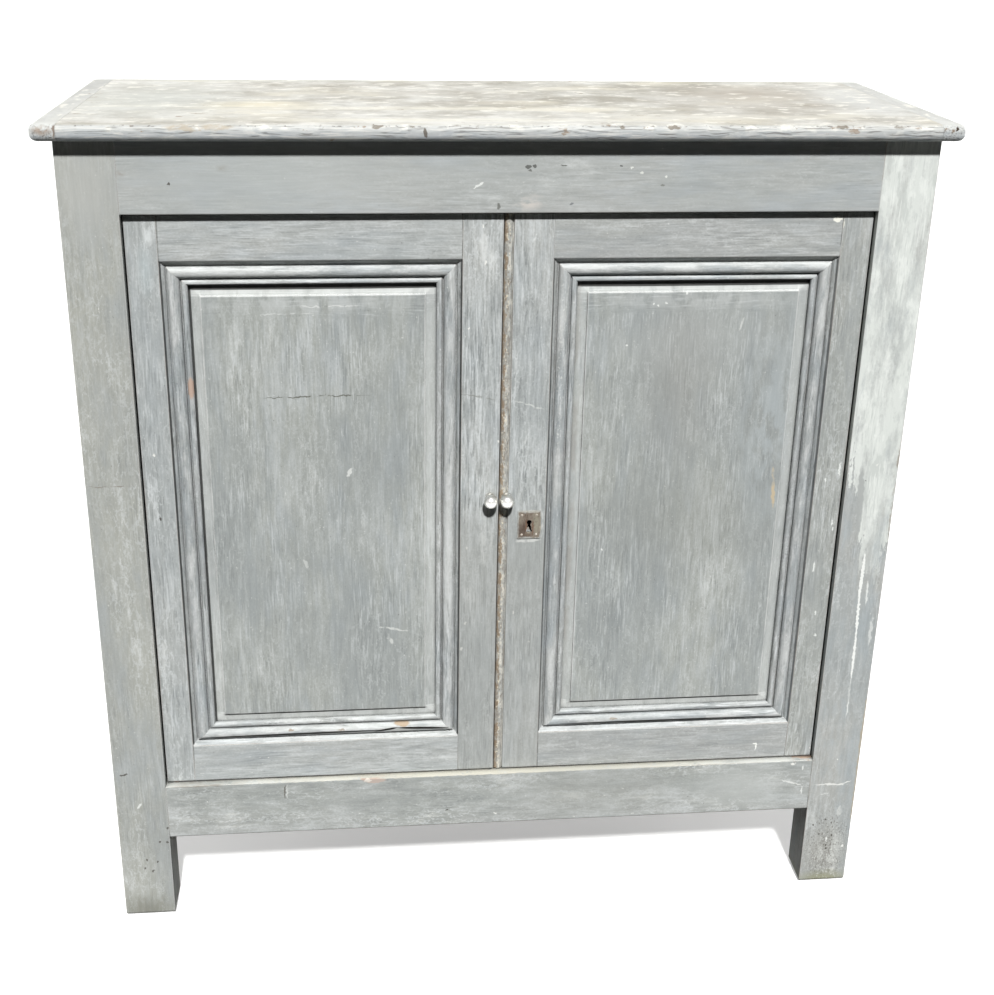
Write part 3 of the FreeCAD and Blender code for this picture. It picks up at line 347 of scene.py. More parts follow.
def scrubbedTop(name, changes=None):
    look = {**topPaint, **(changes or {})}
    material, add = newMaterial(name)
    place = add("TexCoord")
    straight = place.outputs["Object"]
    point = shift(add, straight, 90, 6)
    torn = shift(add, straight, 9, 4, 4.0)
    grain = look["grain"]
    patches = strokes(add, torn, grain, look["patchMm"], 1.4, 7.0, 0.66)
    dabs = strokes(add, torn, grain, look["dabMm"], 1.8, 4.0)
    zones = strokes(add, point, grain, look["zoneMm"], 2, 3.0)
    scrub = strokes(add, point, grain, look["scrubMm"], 9, 4.0)
    chips = strokes(add, torn, grain, look["chipMm"], 2.4, 6.0, 0.62)
    facing = add("SeparateXYZ", {"Vector": place.outputs["Normal"]}).outputs["Z"]
    nose = add("MapRange", {"Value": facing, "From Min": 0.97, "From Max": 0.75})
    mixed = add("Math", {0: scrub, 1: 0.15, 2: patches}, operation="MULTIPLY_ADD")
    mixed = add("Math", {0: zones, 1: 0.7, 2: mixed}, operation="MULTIPLY_ADD")
    colour = laid(add, linear(look["taupe"]), look["white"], mixed, 0.74, 1.08)
    creamy = strokes(add, torn, grain, look["patchMm"] * 2, 2.2, 6.0, 0.6)
    colour = laid(add, colour, look["cream"], creamy, 0.53, 0.64, look["creamShare"])
    kept = add("MapRange", {"Value": patches, "From Min": 0.3, "From Max": 0.7, "To Min": 1.0,
                            "To Max": 0.6})
    kept = add("Math", {0: nose, 1: kept}, operation="MULTIPLY")
    colour = add("Mix", {"Factor": kept, "A": colour, "B": linear(look["nose"])}, data_type="RGBA")
    colour = markedOver(add, colour, look["smears"], {"torn": torn}, {})
    rubs = ((scrub, "grey", 0.42, 0.32), (dabs, "grey", 0.42, 0.32), (dabs, "bright", 0.57, 0.66))
    for pattern, key, start, end in rubs:
        colour = laid(add, colour, look[key], pattern, start, end, look[key + "Share"])
    kept = add("MapRange", {"Value": chips, "From Min": 0.35, "From Max": 0.6, "To Min": 0.9,
                            "To Max": 0.4})
    colour = laid(add, colour, look["under"], facing, 0.5, -0.15, 1.0, kept)
    chipLine = add("Math", {0: nose, 1: 0.03, 2: chips}, operation="MULTIPLY_ADD")
    colour = laid(add, colour, look["wood"], chipLine, 0.67, 0.7, 0.8)
    lines = strokes(add, point, grain, look["lineMm"], 22, 3.0)  # cracks are finer, drawn coarser to show
    colour = laid(add, colour, look["white"], lines, 0.45, 0.37, 0.7, nose)
    cracks = add("MapRange", {"Value": lines, "From Min": 0.56, "From Max": 0.64, "To Max": 0.55})
    knocks = strokes(add, torn, grain, look["knockMm"], 1.6, 3.0)
    knocks = add("MapRange", {"Value": knocks, "From Min": 0.58, "From Max": 0.63, "To Max": 0.75})
    upper = add("MapRange", {"Value": facing, "From Min": 0.6, "From Max": 0.75})
    knocks = add("Math", {0: knocks, 1: upper}, operation="MULTIPLY")
    cracks = add("Math", {0: cracks, 1: knocks}, operation="MAXIMUM")
    cracks = add("Math", {0: cracks, 1: nose}, operation="MULTIPLY")
    colour = add("Mix", {"Factor": cracks, "A": colour, "B": linear(look["crackAndShade"])}, data_type="RGBA")
    colour = markedOver(add, colour, look["marks"], {"torn": torn}, {"broken": (chips, 0.42, 0.52)})
    # painted shade: hollows and the underside near other parts darkened towards the crack colour
    corner = add("AmbientOcclusion", {"Distance": look["hollowReachMm"] / 1000}, samples=6)
    colour = laid(add, colour, look["crackAndShade"], corner.outputs["AO"], 0.55, 0.15, 0.7)
    height = add("Math", {0: cracks, 1: -0.8}, operation="MULTIPLY")
    height = add("Math", {0: chips, 1: -0.7, 2: height}, operation="MULTIPLY_ADD")
    height = add("Math", {0: patches, 1: 0.8, 2: height}, operation="MULTIPLY_ADD")
    rounded = add("Bevel", {"Radius": look["roundMm"] / 1000}, samples=6)
    bump = add("Bump", {"Strength": 0.5, "Distance": look["bumpMm"] / 1000, "Height": height,
                        "Normal": rounded})
    return finished(material, add, {"Base Color": colour, "Roughness": look["roughness"], "Normal": bump,
                                    "Specular IOR Level": 0.1})


# Nickel plate, polished on a wheel: mirror bright, with hair scratches and a little tarnish round the neck.
nickelPlate = {
    "face": "#E6E5E1", "tarnish": "#8D897F", "scratchMm": 0.9, "hollowReachMm": 6, "bumpMm": 0.4, "roughness": 0.3,
}


def polishedNickel(name, look):
    material, add = newMaterial(name)
    scratch = strokes(add, add("TexCoord").outputs["Object"], "X", look["scratchMm"], 14, 3.0, 0.5)
    corner = add("AmbientOcclusion", {"Distance": look["hollowReachMm"] / 1000}, samples=6)
    colour = laid(add, linear(look["face"]), look["tarnish"], corner.outputs["AO"], 0.7, 0.2, 0.8)
    rough = add("MapRange", {"Value": scratch, "From Min": 0.35, "From Max": 0.75,
                             "To Min": look["roughness"] - 0.06, "To Max": look["roughness"] + 0.12})
    bump = add("Bump", {"Strength": 0.06, "Distance": look["bumpMm"] / 1000, "Height": scratch})
    return finished(material, add, {"Base Color": colour, "Metallic": 1.0, "Roughness": rough,
                                    "Normal": bump})


# Sheet and forged iron, rusted and smeared with paint: brown scale, orange bloom and dull rubbed places.
ironSkin = {
    "scale": "#857A70", "bloom": "#6F5D50", "pit": "#4E423A", "rubbed": "#A39E95", "smear": None,
    "scaleMm": 11, "streaked": 1, "pitMm": 2.6, "roundMm": 0.6, "bumpMm": 0.6, "roughness": 0.66,
    "marks": (),
}


def rustedIron(name, changes=None):
    look = {**ironSkin, **(changes or {})}
    material, add = newMaterial(name)
    place = add("TexCoord")
    point = place.outputs["Object"]
    scale = strokes(add, point, "Z", look["scaleMm"], look["streaked"], 6.0, 0.68)
    pits = add("TexNoise", {"Vector": point, "Scale": perMm(look["pitMm"]), "Detail": 4.0, "Roughness": 0.6})
    colour = laid(add, linear(look["scale"]), look["bloom"], scale, 0.5, 0.64)
    colour = laid(add, colour, look["rubbed"], scale, 0.46, 0.36, 0.8)
    if look["smear"]:  # house paint carried over the edges by the brush
        across = add("SeparateXYZ", {"Vector": place.outputs["Generated"]})
        sides = [add("Math", {0: across.outputs[axis], 1: 0.5}, operation="SUBTRACT") for axis in "XZ"]
        sides = [add("Math", {0: side}, operation="ABSOLUTE") for side in sides]
        spread = add("Math", {0: sides[0], 1: sides[1]}, operation="MAXIMUM")
        spread = add("Math", {0: scale, 1: 0.45, 2: spread}, operation="MULTIPLY_ADD")
        colour = laid(add, colour, look["smear"], spread, 0.66, 0.72, 0.85)
    colour = markedOver(add, colour, look["marks"], {"torn": shift(add, point, 4, 2, 3.0)}, {})
    colour = laid(add, colour, look["pit"], pits, 0.58, 0.7, 0.8)
    metal = add("MapRange", {"Value": scale, "From Min": 0.5, "From Max": 0.36, "To Min": 0.25,
                             "To Max": 0.8})
    rounded = add("Bevel", {"Radius": look["roundMm"] / 1000}, samples=4)
    bump = add("Bump", {"Strength": 0.6, "Distance": look["bumpMm"] / 1000, "Height": pits,
                        "Normal": rounded}, invert=True)
    return finished(material, add, {"Base Color": colour, "Metallic": metal, "Roughness": look["roughness"],
                                    "Normal": bump})


# Posts. The left one is a little warmer; the right one has the white coat from above.
leftPost = {
    "coat": "#A6A8A3", "warm": "#A9AAA2", "cool": "#A5A9A8", "light": 0.4, "dark": 0.45,
    "hairs": 0.22, "flecks": 0.6, "wrinkles": 0.35,
    "marks": (
        ("torn", (-540, -180, 1150), (60, 20, 90), "#B6B7B2", 0.7, 0, 0.3),
        ("broken", (-539, -180, 736), (37, 20, 1.1), "#7D746A", 0.6),
        ("torn", (-540, -165, 8), (60, 60, 40), "#7B7B70", 0.7, 0, 0.2),
        ("fine", (-560, -180, 262), (7, 8, 1.6), "#4A4640", 0.8, -10),
        ("fine", (-541, -180, 205), (2, 8, 7), "#E4E6E2", 0.8, 35),
        *(("fine", (x, -180, z), (2, 8, 2.4), "#55504A", 0.8) for x, z in (
            (-502, 162), (-515, 137), (-504, 136), (-537, 104), (-521, 100), (-529, 83), (-541, 89))),
    ),
}
rightPost = {
    **leftPost, "coat": "#A7ABAA", "warm": "#ABACA8", "cool": "#A7AEB0", "flecks": 0.85, "fleckShare": 0.5,
    # across which it steps down, how low it ends inside and outside, its soft rim, then each kind of run:
    # how wide, how drawn out and how far it reaches
    "overpaint": {"turn": (522, 533), "ends": (712, 580), "rim": (-2, 5),
                  "runs": ((22, 5, 260), (5, 10, 260)), "blotchMm": 21, "thin": 0.3,
                  "colour": "#D9DDD8", "bare": "#B9BEBA", "thick": "#EDF0EB"},
    "marks": (
        ("torn", (524, -180, 688), (5.5, 8, 62), "#A9ACAA", 0.9, -3),
        *(("fine", (x, -180, z), (wide, 10, 44), "#EDEFEB", 1, turn, 0.85)
          for x, z, wide, turn in ((541.6, 560, 2.6, 0.8), (542.8, 492, 2.2, -2), (544.6, 424, 2, -0.6))),
        ("broken", (545, -180, 350), (1.5, 10, 40), "#E6E9E5", 0.8),
        ("fine", (552.6, -180, 533), (1.8, 10, 23), "#E1E4E0", 0.85, -2.5),
        ("broken", (566, -180, 469), (2.5, 8, 30), "#D9DCD9", 0.7),
        ("broken", (575, -180, 700), (4.5, 9, 95), "#938B7F", 0.75),
        ("broken", (575, -180, 240), (3, 9, 170), "#B0A48D", 0.7),
        ("broken", (536, -180, 189), (30, 10, 1.7), "#E6E7E2", 0.85, 3),
        ("torn", (556, -180, 192), (12, 10, 1.4), "#E6E7E2", 0.8, -18),
        ("torn", (525, -180, 172), (8, 10, 1), "#DADCD8", 0.7),
        ("torn", (538, -180, 50), (48, 10, 80), "#918E86", 0.6, 0, 0.3),
        ("broken", (545, -180, 60), (26, 10, 50), "#D0D2CE", 0.7, 0, 0.3),
        ("broken", (554, -180, 30), (5, 10, 16), "#D9DAD6", 0.7, 8),
        ("broken", (555, -180, 139), (6, 10, 13), "#D2D4D0", 0.6, 12),
        ("fine", (566, -180, 68), (2.4, 10, 3), "#E6E7E2"),
        ("fine", (538, -180, 83), (1.6, 10, 6), "#E0E2DE"),
        ("torn", (540, -165, 4), (60, 60, 22), "#9A9A80", 0.85, 0, 0.3),
        ("pits", (538, -180, 76), (44, 10, 84), "#625D55", 0.7, 0, 0.55),
        ("specks", (541, -180, 55), (42, 10, 76), "#D6D8D2", 0.65, 0, 0.5),
        *(("fine", (x, -180, z), (1.6, 8, 1.8), "#4B4741", 0.85)
          for x, z in ((532, 122), (543, 115), (524, 94), (546, 90), (538, 71), (539, 65), (513, 112))),
    ),
}
dress(brushedPaint("brushedPaintLeftPost", leftPost), "front_left_post")
dress(brushedPaint("brushedPaintRightPost", rightPost), "front_right_post")

# Rails across the front: brushed level, with the ledge below the doors rubbed to cream.
topRail = {
    "grain": "X", "coat": "#A9ADAB", "hairs": 0.16, "sweep": 0.16, "mottle": 0.14, "grit": 0.05,
    "light": 0.5, "dark": 0.45, "flecks": 0.5, "specks": 0.25, "wrinkles": 0.15,
    "bareBeyond": ("Y", -152, -148),
    "marks": (
        ("torn", (-300, -180, 1165), (260, 20, 70), "#B7BBB9", 0.6, 0, 0.1),
        ("broken", (-494, -180, 1172), (8, 6, 6), "#8F857A", 0.6, 0, 0.2),
        ("broken", (-367, -180, 1176), (10, 6, 6), "#97948D", 0.5, 0, 0.2),
        ("fine", (-40, -180, 1154), (9, 6, 1.4), "#E4E6E2", 0.9, -32),
        ("broken", (24, -180, 1131), (27, 6, 14), "#CFC9C2", 0.8, 0, 0.3),
        *(("fine", (x, -180, z), (wide, 6, tall), tone, 0.85) for x, z, wide, tall, tone in (
            (-435, 1157, 2, 2, "#4A4640"), (25, 1178, 4.5, 3, "#5A5B57"), (33, 1179, 3, 2.5, "#5A5B57"),
            (27, 1173, 3.5, 1.4, "#6A6B67"), (71, 1180, 5.5, 1.2, "#5A5B57"),
            (147, 1179, 1.7, 1.7, "#4A4B48"), (161, 1177, 2.6, 2, "#E0E2DC"),
            (174, 1170, 3.2, 1.8, "#DDDFD8"), (207, 1165, 1.6, 2, "#E0E2DC"), (203, 1153, 4, 1.2, "#82847F"),
            (-13, 1126, 2, 5, "#6F706B"), (83, 1129, 2.6, 1.8, "#7B7E80"))),
    ),
}
bottomRail = {
    **topRail, "coat": "#A6A9A5", "cool": "#A6AAA8", "undercoat": "#D2D3CD", "edge": 1.0, "flecks": 0.95,
    "fleckMm": 15, "fleckShare": 0.6, "specks": 0.7, "wrinkles": 0.5, "hairs": 0.18, "mottle": 0.5,
    "grit": 0.2, "cloud": 0.4, "worn": 0.7, "light": 0.55, "joints": (("X", -500), ("X", 500)),
    "marks": (
        ("torn", (0, -160, 237), (520, 40, 2.2), "#CBC8BA", 0.95, 0, 0.5),
        ("torn", (150, -180, 195), (190, 20, 80), "#989A95", 0.45, 0, 0.3),
        ("torn", (385, -180, 195), (95, 20, 60), "#BABDBA", 0.6, 0, 0.3),
        ("broken", (-440, -176, 237), (66, 20, 5), "#8A857C", 0.75, 0, 0.3),
        ("broken", (-186, -178, 237), (24, 14, 6), "#B99C8C", 0.8),
        ("fine", (-186, -180, 233), (19, 8, 4.5), "#C0AFA4", 0.85),
        ("fine", (-197, -180, 234), (7, 8, 3), "#E2DCD2", 0.8),
        ("broken", (484, -172, 238), (19, 16, 5), "#AE9078", 0.85),
        ("torn", (-323, -180, 220), (1.3, 6, 14), "#6B6861", 0.85),
        ("torn", (-320, -180, 220), (1, 6, 14), "#D5D7D3", 0.7),
        ("broken", (-388, -180, 166), (22, 6, 2), "#DADCD8", 0.8),
        ("fine", (469, -180, 196), (20, 10, 1.6), "#E0E2DE", 0.8, 17),
        ("fine", (487, -180, 181), (1.7, 10, 9), "#E0E2DE", 0.85),
        ("fine", (468, -180, 231), (4, 8, 2.5), "#EAEAE4", 0.9),
        ("fine", (485, -180, 223), (1.6, 8, 5), "#E3E5E1", 0.8),
    ),
}
dress(brushedPaint("brushedPaintTopRail", topRail), "front_top_rail")
dress(brushedPaint("brushedPaintBottomRail", bottomRail), "front_bottom_rail")

# Ends: rails run front to back, rear posts and plain panels stand upright. The inside faces are bare.
rearPosts = {**leftPost, "marks": ()}
for side, label, sign in (("left", "Left", -1), ("right", "Right", 1)):
    endLook = {"bareBeyond": ("X", sign * 556, sign * 554)}
    dress(brushedPaint(f"brushedPaint{label}RearPost", {**rearPosts, **endLook}), f"rear_{side}_post")
    dress(brushedPaint(f"brushedPaint{label}EndRails", {**endLook, "grain": "Y"}),
          f"{side}_top_side_rail", f"{side}_bottom_side_rail")
    dress(brushedPaint(f"brushedPaint{label}EndPanel", endLook), f"{side}_side_panel")
print("carcass painted")

# Doors: the frame, the mouldings and the panel each take the brush along their own length.
doorBack = ("Y", -154, -151)
panelBevel = 0.015  # metres


def raisedField(door, leftEdge, rightEdge):  # lowest and highest corner of a panel's field, inside its bevel
    low = (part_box(f"{door}_{leftEdge}_moulding")[1].x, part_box(f"{door}_bottom_moulding")[1].z)
    high = (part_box(f"{door}_{rightEdge}_moulding")[0].x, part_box(f"{door}_top_moulding")[0].z)
    return [v + panelBevel for v in low], [v - panelBevel for v in high]


hingeStiles = {
    "bareBeyond": doorBack, "hairs": 0.36, "dark": 0.5,
    "marks": (
        ("fine", (454, -170, 1098), (5, 5, 10), "#F0EFE4"),
        ("broken", (-468, -170, 1085), (8, 5, 14), "#D8DCDB", 0.7, 0, 0.3),
        ("torn", (-474, -170, 1040), (13, 5, 45), "#B9C2C3", 0.6, 0, 0.2),
        *(("fine", (x, -170, z), (1.7, 5, long), "#E6E9E5", 0.85) for x, z, long in (
            (492, 734, 12), (473, 717, 4), (490, 647, 5), (492, 637, 3), (470, 574, 9), (480, 496, 4),
            (484, 457, 3))),
    ),
}
meetingStiles = {
    "bareBeyond": doorBack, "coat": "#AEB2B1", "hairs": 0.48, "cloud": 0.3, "light": 0.8, "dark": 0.65,
    "worn": 0.7, "sweep": 0.3,
    "marks": (
        ("torn", (0, -170, 380), (400, 8, 330), "#9B9D99", 0.5),
        ("broken", (-34, -170, 855), (27, 4, 1.4), "#8A8C87", 0.7, 11),
        ("broken", (36, -170, 842), (28, 4, 1.4), "#CDD0CC", 0.8, 18),
        ("torn", (40.6, -150, 651), (8, 17, 12), "#D9CDBF"),
        ("broken", (58, -170, 655), (3.5, 4, 30), "#CBCCC8", 0.8),
        ("broken", (40, -170, 631), (20, 4, 3.5), "#D2D3CF", 0.8),
    ),
}
doorRails = {
    "bareBeyond": doorBack, "grain": "X", "coat": "#B0B4B3", "hairs": 0.3, "wrinkles": 0.25, "light": 0.7,
    "dark": 0.5, "fleckShare": 0.2, "fleckMm": 20,
    "joints": (("X", -457), ("X", -58.6), ("X", 63.6), ("X", 457)),
    "marks": (
        ("fine", (449, -170, 1104), (7, 5, 4), "#F0EFE4"),
        ("fine", (409, -170, 259), (1.6, 6, 7), "#EEEFEA"),
        ("fine", (407, -170, 265), (3, 6, 1.8), "#EEEFEA"),
    ),
}
rightHingeStile = {**hingeStiles, "coat": "#A4A7A3", "warm": "#A6A7A2", "cool": "#A4A8A7"}
rightDoorRails = {**doorRails, "coat": "#AAACAA", "warm": "#A9ABA7", "cool": "#A6AAAA"}
leftPanel = {
    "bareBeyond": ("Y", -156, -154), "coat": "#9FA3A1", "warm": "#A0A39E", "cool": "#9EA3A3", "hairs": 0.32,
    "light": 0.48, "dark": 0.42, "worn": 0.4, "cloud": 0.4, "wrinkles": 0.22, "edgeWood": 0,
    "field": raisedField("left_door", "hinge_side", "meeting_side"),
    "marks": (
        # painted shadow: a black line under the field's foot step
        ("straight", (-258, -160, 348.8), (154, 12, 2.5), "#2A2A28", 0.85, 0, 0.8),
        ("broken", (-258, -164, 990), (200, 12, 16), "#C2C5C3", 0.5, 0, 0.3),
        # painted shade: a black line down the panel's edge by the hinge-side moulding, then a painted shadow
        # band under the head moulding
        ("straight", (-421, -158, 676), (2, 8, 900), "#20201F", 0.85, 0, 0.7),
        ("straight", (-258, -158, 1014), (400, 12, 5), "#20201F", 0.9, 0, 0.8),
        ("broken", (-300, -164, 976.5), (55, 4, 1.1), "#CFD2CF", 0.7),
        ("broken", (-235, -164, 987), (50, 4, 1.1), "#D6D8D5", 0.8),
        ("broken", (-259, -164, 857.5), (80, 4, 1.2), "#66675F", 0.85, -0.6),
        ("broken", (-155, -164, 488), (25, 4, 2.2), "#D3D5D1", 0.8, 12),
        ("broken", (-163, -164, 474), (3, 4, 14), "#D3D5D1", 0.75, -28),
        ("fine", (-215, -164, 742), (3, 4, 8), "#DADCD8", 0.8, 25),
        ("fine", (-280, -164, 600), (3, 4, 9), "#CDD0CC", 0.6, -20),
    ),
}
rightPanel = {
    **leftPanel, "coat": "#A1A5A3", "warm": "#A2A5A0",
    "field": raisedField("right_door", "meeting_side", "hinge_side"),
    "marks": (
        # painted shadow: a black line under the field's foot step
        ("straight", (260, -160, 348.8), (152, 12, 2.5), "#2A2A28", 0.85, 0, 0.8),
        ("broken", (260, -164, 990), (200, 12, 16), "#C2C5C3", 0.5, 0, 0.3),
        # painted shadow: a black band under the head moulding
        ("straight", (260, -158, 1013.8), (400, 12, 5.2), "#20201F", 0.9, 0, 0.8),
        ("broken", (100, -158, 680), (9, 9, 420), "#938F88", 0.5, 0, 0.5),
        ("torn", (260, -164, 940), (170, 6, 70), "#B7BAB8", 0.3, 0, 0.2),
        ("torn", (260, -164, 660), (180, 6, 110), "#8F918C", 0.35, 0, 0.3),
        ("broken", (385, -164, 800), (60, 6, 200), "#B7BFC2", 0.4, 0, 0.1),
        ("torn", (250, -164, 870), (70, 6, 160), "#9C9A94", 0.35, 0, 0.1),
        ("broken", (397, -162, 707), (3.2, 6, 42), "#C6B699", 0.9, -5),
        ("fine", (330, -164, 955), (2, 4, 12), "#D3D5D1", 0.6, 15),
        *(("fine", (x, -164, z), (2, 4, 1.8), "#E3E5E1", 0.9)
          for x, z in ((170, 925), (204, 985), (211, 983), (222, 986), (250, 1000), (150, 610))),
    ),
}
mouldings = {
    "coat": "#A9ACAB", "cool": "#A6ACAE", "undercoat": "#D3D5D3", "light": 0.8, "dark": 0.65, "edge": 1.0,
    "edgeWood": 0.6, "worn": 0.9, "dirtAndShade": 0.75, "hollowReachMm": 5, "hairs": 0.6, "combMm": 30, "specks": 0.8,
    "ledgeWearAndLight": 0.3, "patchMm": 30, "roundMm": 1.2, "crest": (-166.5, -169.5),
}
leftUprightMouldings = {
    **mouldings,
    "marks": (
        ("fine", (-426, -162, 873), (5, 14, 18), "#BCA596"),
        ("broken", (-405, -160, 926), (2.2, 10, 12), "#A4907C", 0.8),
        # painted shade: black lines down the quirks at both outer edges
        *(("straight", (x, -165, 676), (1.5, 14, 900), "#262625", 0.85) for x in (-455.8, -59.8)),
    ),
}
rightUprightMouldings = {
    **mouldings,
    "marks": (
        # painted shade: dark lines down the quirks at both outer edges
        *(("straight", (x, -165, 676), (1.5, 14, 900), "#2C2C2B", 0.7) for x in (64.8, 455.8)),
        ("specks", (78, -168, 900), (5, 8, 150), "#D6D7D2", 0.8),
    ),
}
leftLevelMouldings = {  # the foot moulding has split away along its quirk, and the black lines there are painted shade
    **mouldings, "grain": "X",
    "marks": (
        ("broken", (-144, -166, 325), (13, 12, 4.5), "#B29D84", 0.9),
        # painted shade: black lines along the split quirk
        ("straight", (-310, -169, 315.6), (165, 14, 2.3), "#1E1D1B", 0.95, -0.5),
        ("straight", (-168, -169, 317.4), (20, 14, 2), "#1E1D1B", 1, -9),
        ("straight", (-112, -169, 318), (46, 14, 2.2), "#1E1D1B", 1, 2.5),
        ("fine", (-310, -166, 322), (5, 12, 2), "#8E7B66", 0.7),
        ("fine", (-236, -166, 320), (7, 12, 2), "#9A8A78", 0.7),
        # painted shadow under the head moulding's inner edge
        ("straight", (-258, -163, 1017.5), (400, 12, 2.6), "#20201F", 0.9, 0, 0.8),
    ),
}
rightLevelMouldings = {
    **mouldings, "grain": "X",
    "marks": (
        # painted shade: a black line along the foot moulding's quirk
        ("straight", (271, -169, 314.6), (195, 14, 2.3), "#1E1D1B", 0.95, 0.2),
        ("fine", (180, -166, 321), (8, 12, 2), "#94836F", 0.6),
        # painted shadow under the head moulding's inner edge
        ("straight", (260, -163, 1017.5), (400, 12, 2.6), "#20201F", 0.9, 0, 0.8),
    ),
}
meetingBead = {
    "coat": "#B1B3AF", "warm": "#AEADA6", "cool": "#AFB3B1", "thin": "#867E73", "chalk": "#DEDBD0",
    "undercoat": "#D8D5CA", "wood": "#8C7A66", "patchMm": 15, "mottleMm": 7, "mottle": 0.8, "light": 0.9,
    "dark": 0.7, "worn": 1.0, "edge": 0.7, "roundMm": 1.2, "dirtAndShade": 0.3, "hollowReachMm": 4, "specks": 0.9,
    "fleckMm": 9, "fleckShare": 0.5, "bareBeyond": doorBack,
    "marks": (
        ("broken", (-1.4, -171, 676), (3.6, 9, 900), "#8A7761", 0.85),
        ("specks", (1.5, -171, 676), (4, 9, 900), "#DCD3BE", 0.9),
        ("pits", (5, -171, 676), (4, 9, 900), "#857866", 0.7),
    ),
}
doorLooks = (
    ("HingeStile", hingeStiles, rightHingeStile, ("hinge_stile",)),
    ("DoorRails", doorRails, rightDoorRails, ("top_rail", "bottom_rail")),
    ("Panel", leftPanel, rightPanel, ("panel",)),
    ("UprightMouldings", leftUprightMouldings, rightUprightMouldings,
     ("hinge_side_moulding", "meeting_side_moulding")),
    ("LevelMouldings", leftLevelMouldings, rightLevelMouldings, ("top_moulding", "bottom_moulding")))
for label, leftLook, rightLook, pieces in doorLooks:
    dress(brushedPaint(f"brushedPaintLeft{label}", leftLook), *(f"left_door_{piece}" for piece in pieces))
    dress(brushedPaint(f"brushedPaintRight{label}", rightLook), *(f"right_door_{piece}" for piece in pieces))
dress(brushedPaint("brushedPaintMeetingStiles", meetingStiles),
      "left_door_meeting_stile", "right_door_meeting_stile")
dress(brushedPaint("brushedPaintMeetingBead", meetingBead), "right_door_meeting_bead")
print("doors painted")

# The top: boards scrubbed lengthways, end strips across and smoother.
topBoards = {
    "smears": tuple(
        ("torn", (x, y, 1236), (long, deep, 20), tone, amount, 0, 0.2)
        for x, y, long, deep, tone, amount in (
            (370, 0, 190, 190, "#A8A196", 0.45), (-480, 0, 150, 200, "#C3C5BF", 0.7),
            (-150, -165, 420, 20, "#E2DFD2", 0.6), (-60, -72, 430, 22, "#E1DDCE", 0.55),
            (-330, -40, 90, 34, "#E0D9C2", 0.6), (380, 75, 130, 85, "#A89F92", 0.55),
            (455, -35, 40, 26, "#9A9284", 0.55), (-10, -18, 90, 22, "#A8A092", 0.5),
            (-120, 70, 210, 40, "#B4AFA5", 0.45), (250, -140, 250, 30, "#D9D7CF", 0.5),
            (530, 0, 90, 190, "#C9CAC7", 0.75))),
    "marks": (
        ("broken", (-391, -202, 1232), (46, 12, 5), "#B4AA99", 0.85),
        ("torn", (-110, -204, 1226), (3, 10, 7), "#5E564B", 0.85),
        *(("broken", (x, -201, 1233), (long, 8, 2.6), "#7F776B", 0.85) for x, long in (
            (-240, 4), (-170, 9), (-149, 5), (-129, 7), (-70, 6), (-45, 4), (141, 5), (209, 9), (429, 9),
            (506, 8))),
    ),
}
topEnds = {
    "grain": "Y", "white": "#D0D1CD", "taupe": "#B9B9B5", "creamShare": 0.15, "patchMm": 60,
    "marks": (
        ("broken", (-582, -204, 1229), (17, 10, 8), "#A08F80", 0.8, 0, 0.3),
        ("torn", (-566, -204, 1229), (2, 10, 9), "#7A695B", 0.8),
        ("broken", (573, -204, 1229), (8, 6, 5), "#75634F", 0.85),
        ("torn", (583, -204, 1231), (2.5, 6, 2.5), "#3E342B"),
    ),
}
dress(scrubbedTop("scrubbedPaintTopBoards", topBoards), "top_front_board", "top_rear_board")
dress(scrubbedTop("scrubbedPaintTopEnds", topEnds), "left_top_end_cleat", "right_top_end_cleat")

# Unpainted wood inside and behind.
dress(barePine("barePineShelves", "X"), "front_floor_board", "rear_floor_board", "lower_shelf",
      "middle_shelf", "upper_shelf", "rear_top_rail", "rear_bottom_rail", "door_stops")
dress(barePine("barePineCleats", "Y"), "floor_cleats", "shelf_cleats")

# Back boards, each nailed near both edges to both rails: flush heads with a rust stain run down from each.
backBoards = {
    "early": "#A08D72", "late": "#857058", "dust": "#7A7063", "nailInset": 28, "nail": (2.8, 6, 2.8),
    "nailColour": "#2E2622", "rust": (4, 6, 11), "rustColour": "#4E3A2A", "rustDrop": 7,
}
boardNames = [f"back_board_{number}" for number in range(1, 5)]
nailSpots = []
for board in boardNames:
    low, high = [corner * 1000 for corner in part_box(board)]
    for x in (low.x + backBoards["nailInset"], high.x - backBoards["nailInset"]):
        for rail in ("rear_top_rail", "rear_bottom_rail"):
            nailSpots.append((x, high.y, 500 * sum(corner.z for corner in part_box(rail))))
backBoards["marks"] = (
    *(("torn", (x, y, z - backBoards["rustDrop"]), backBoards["rust"], backBoards["rustColour"], 0.7, 0, 0.1)
      for x, y, z in nailSpots),
    *(("torn", spot, backBoards["nail"], backBoards["nailColour"], 0.9) for spot in nailSpots),
)
dress(barePine("barePineBackBoards", "Z", backBoards), *boardNames)

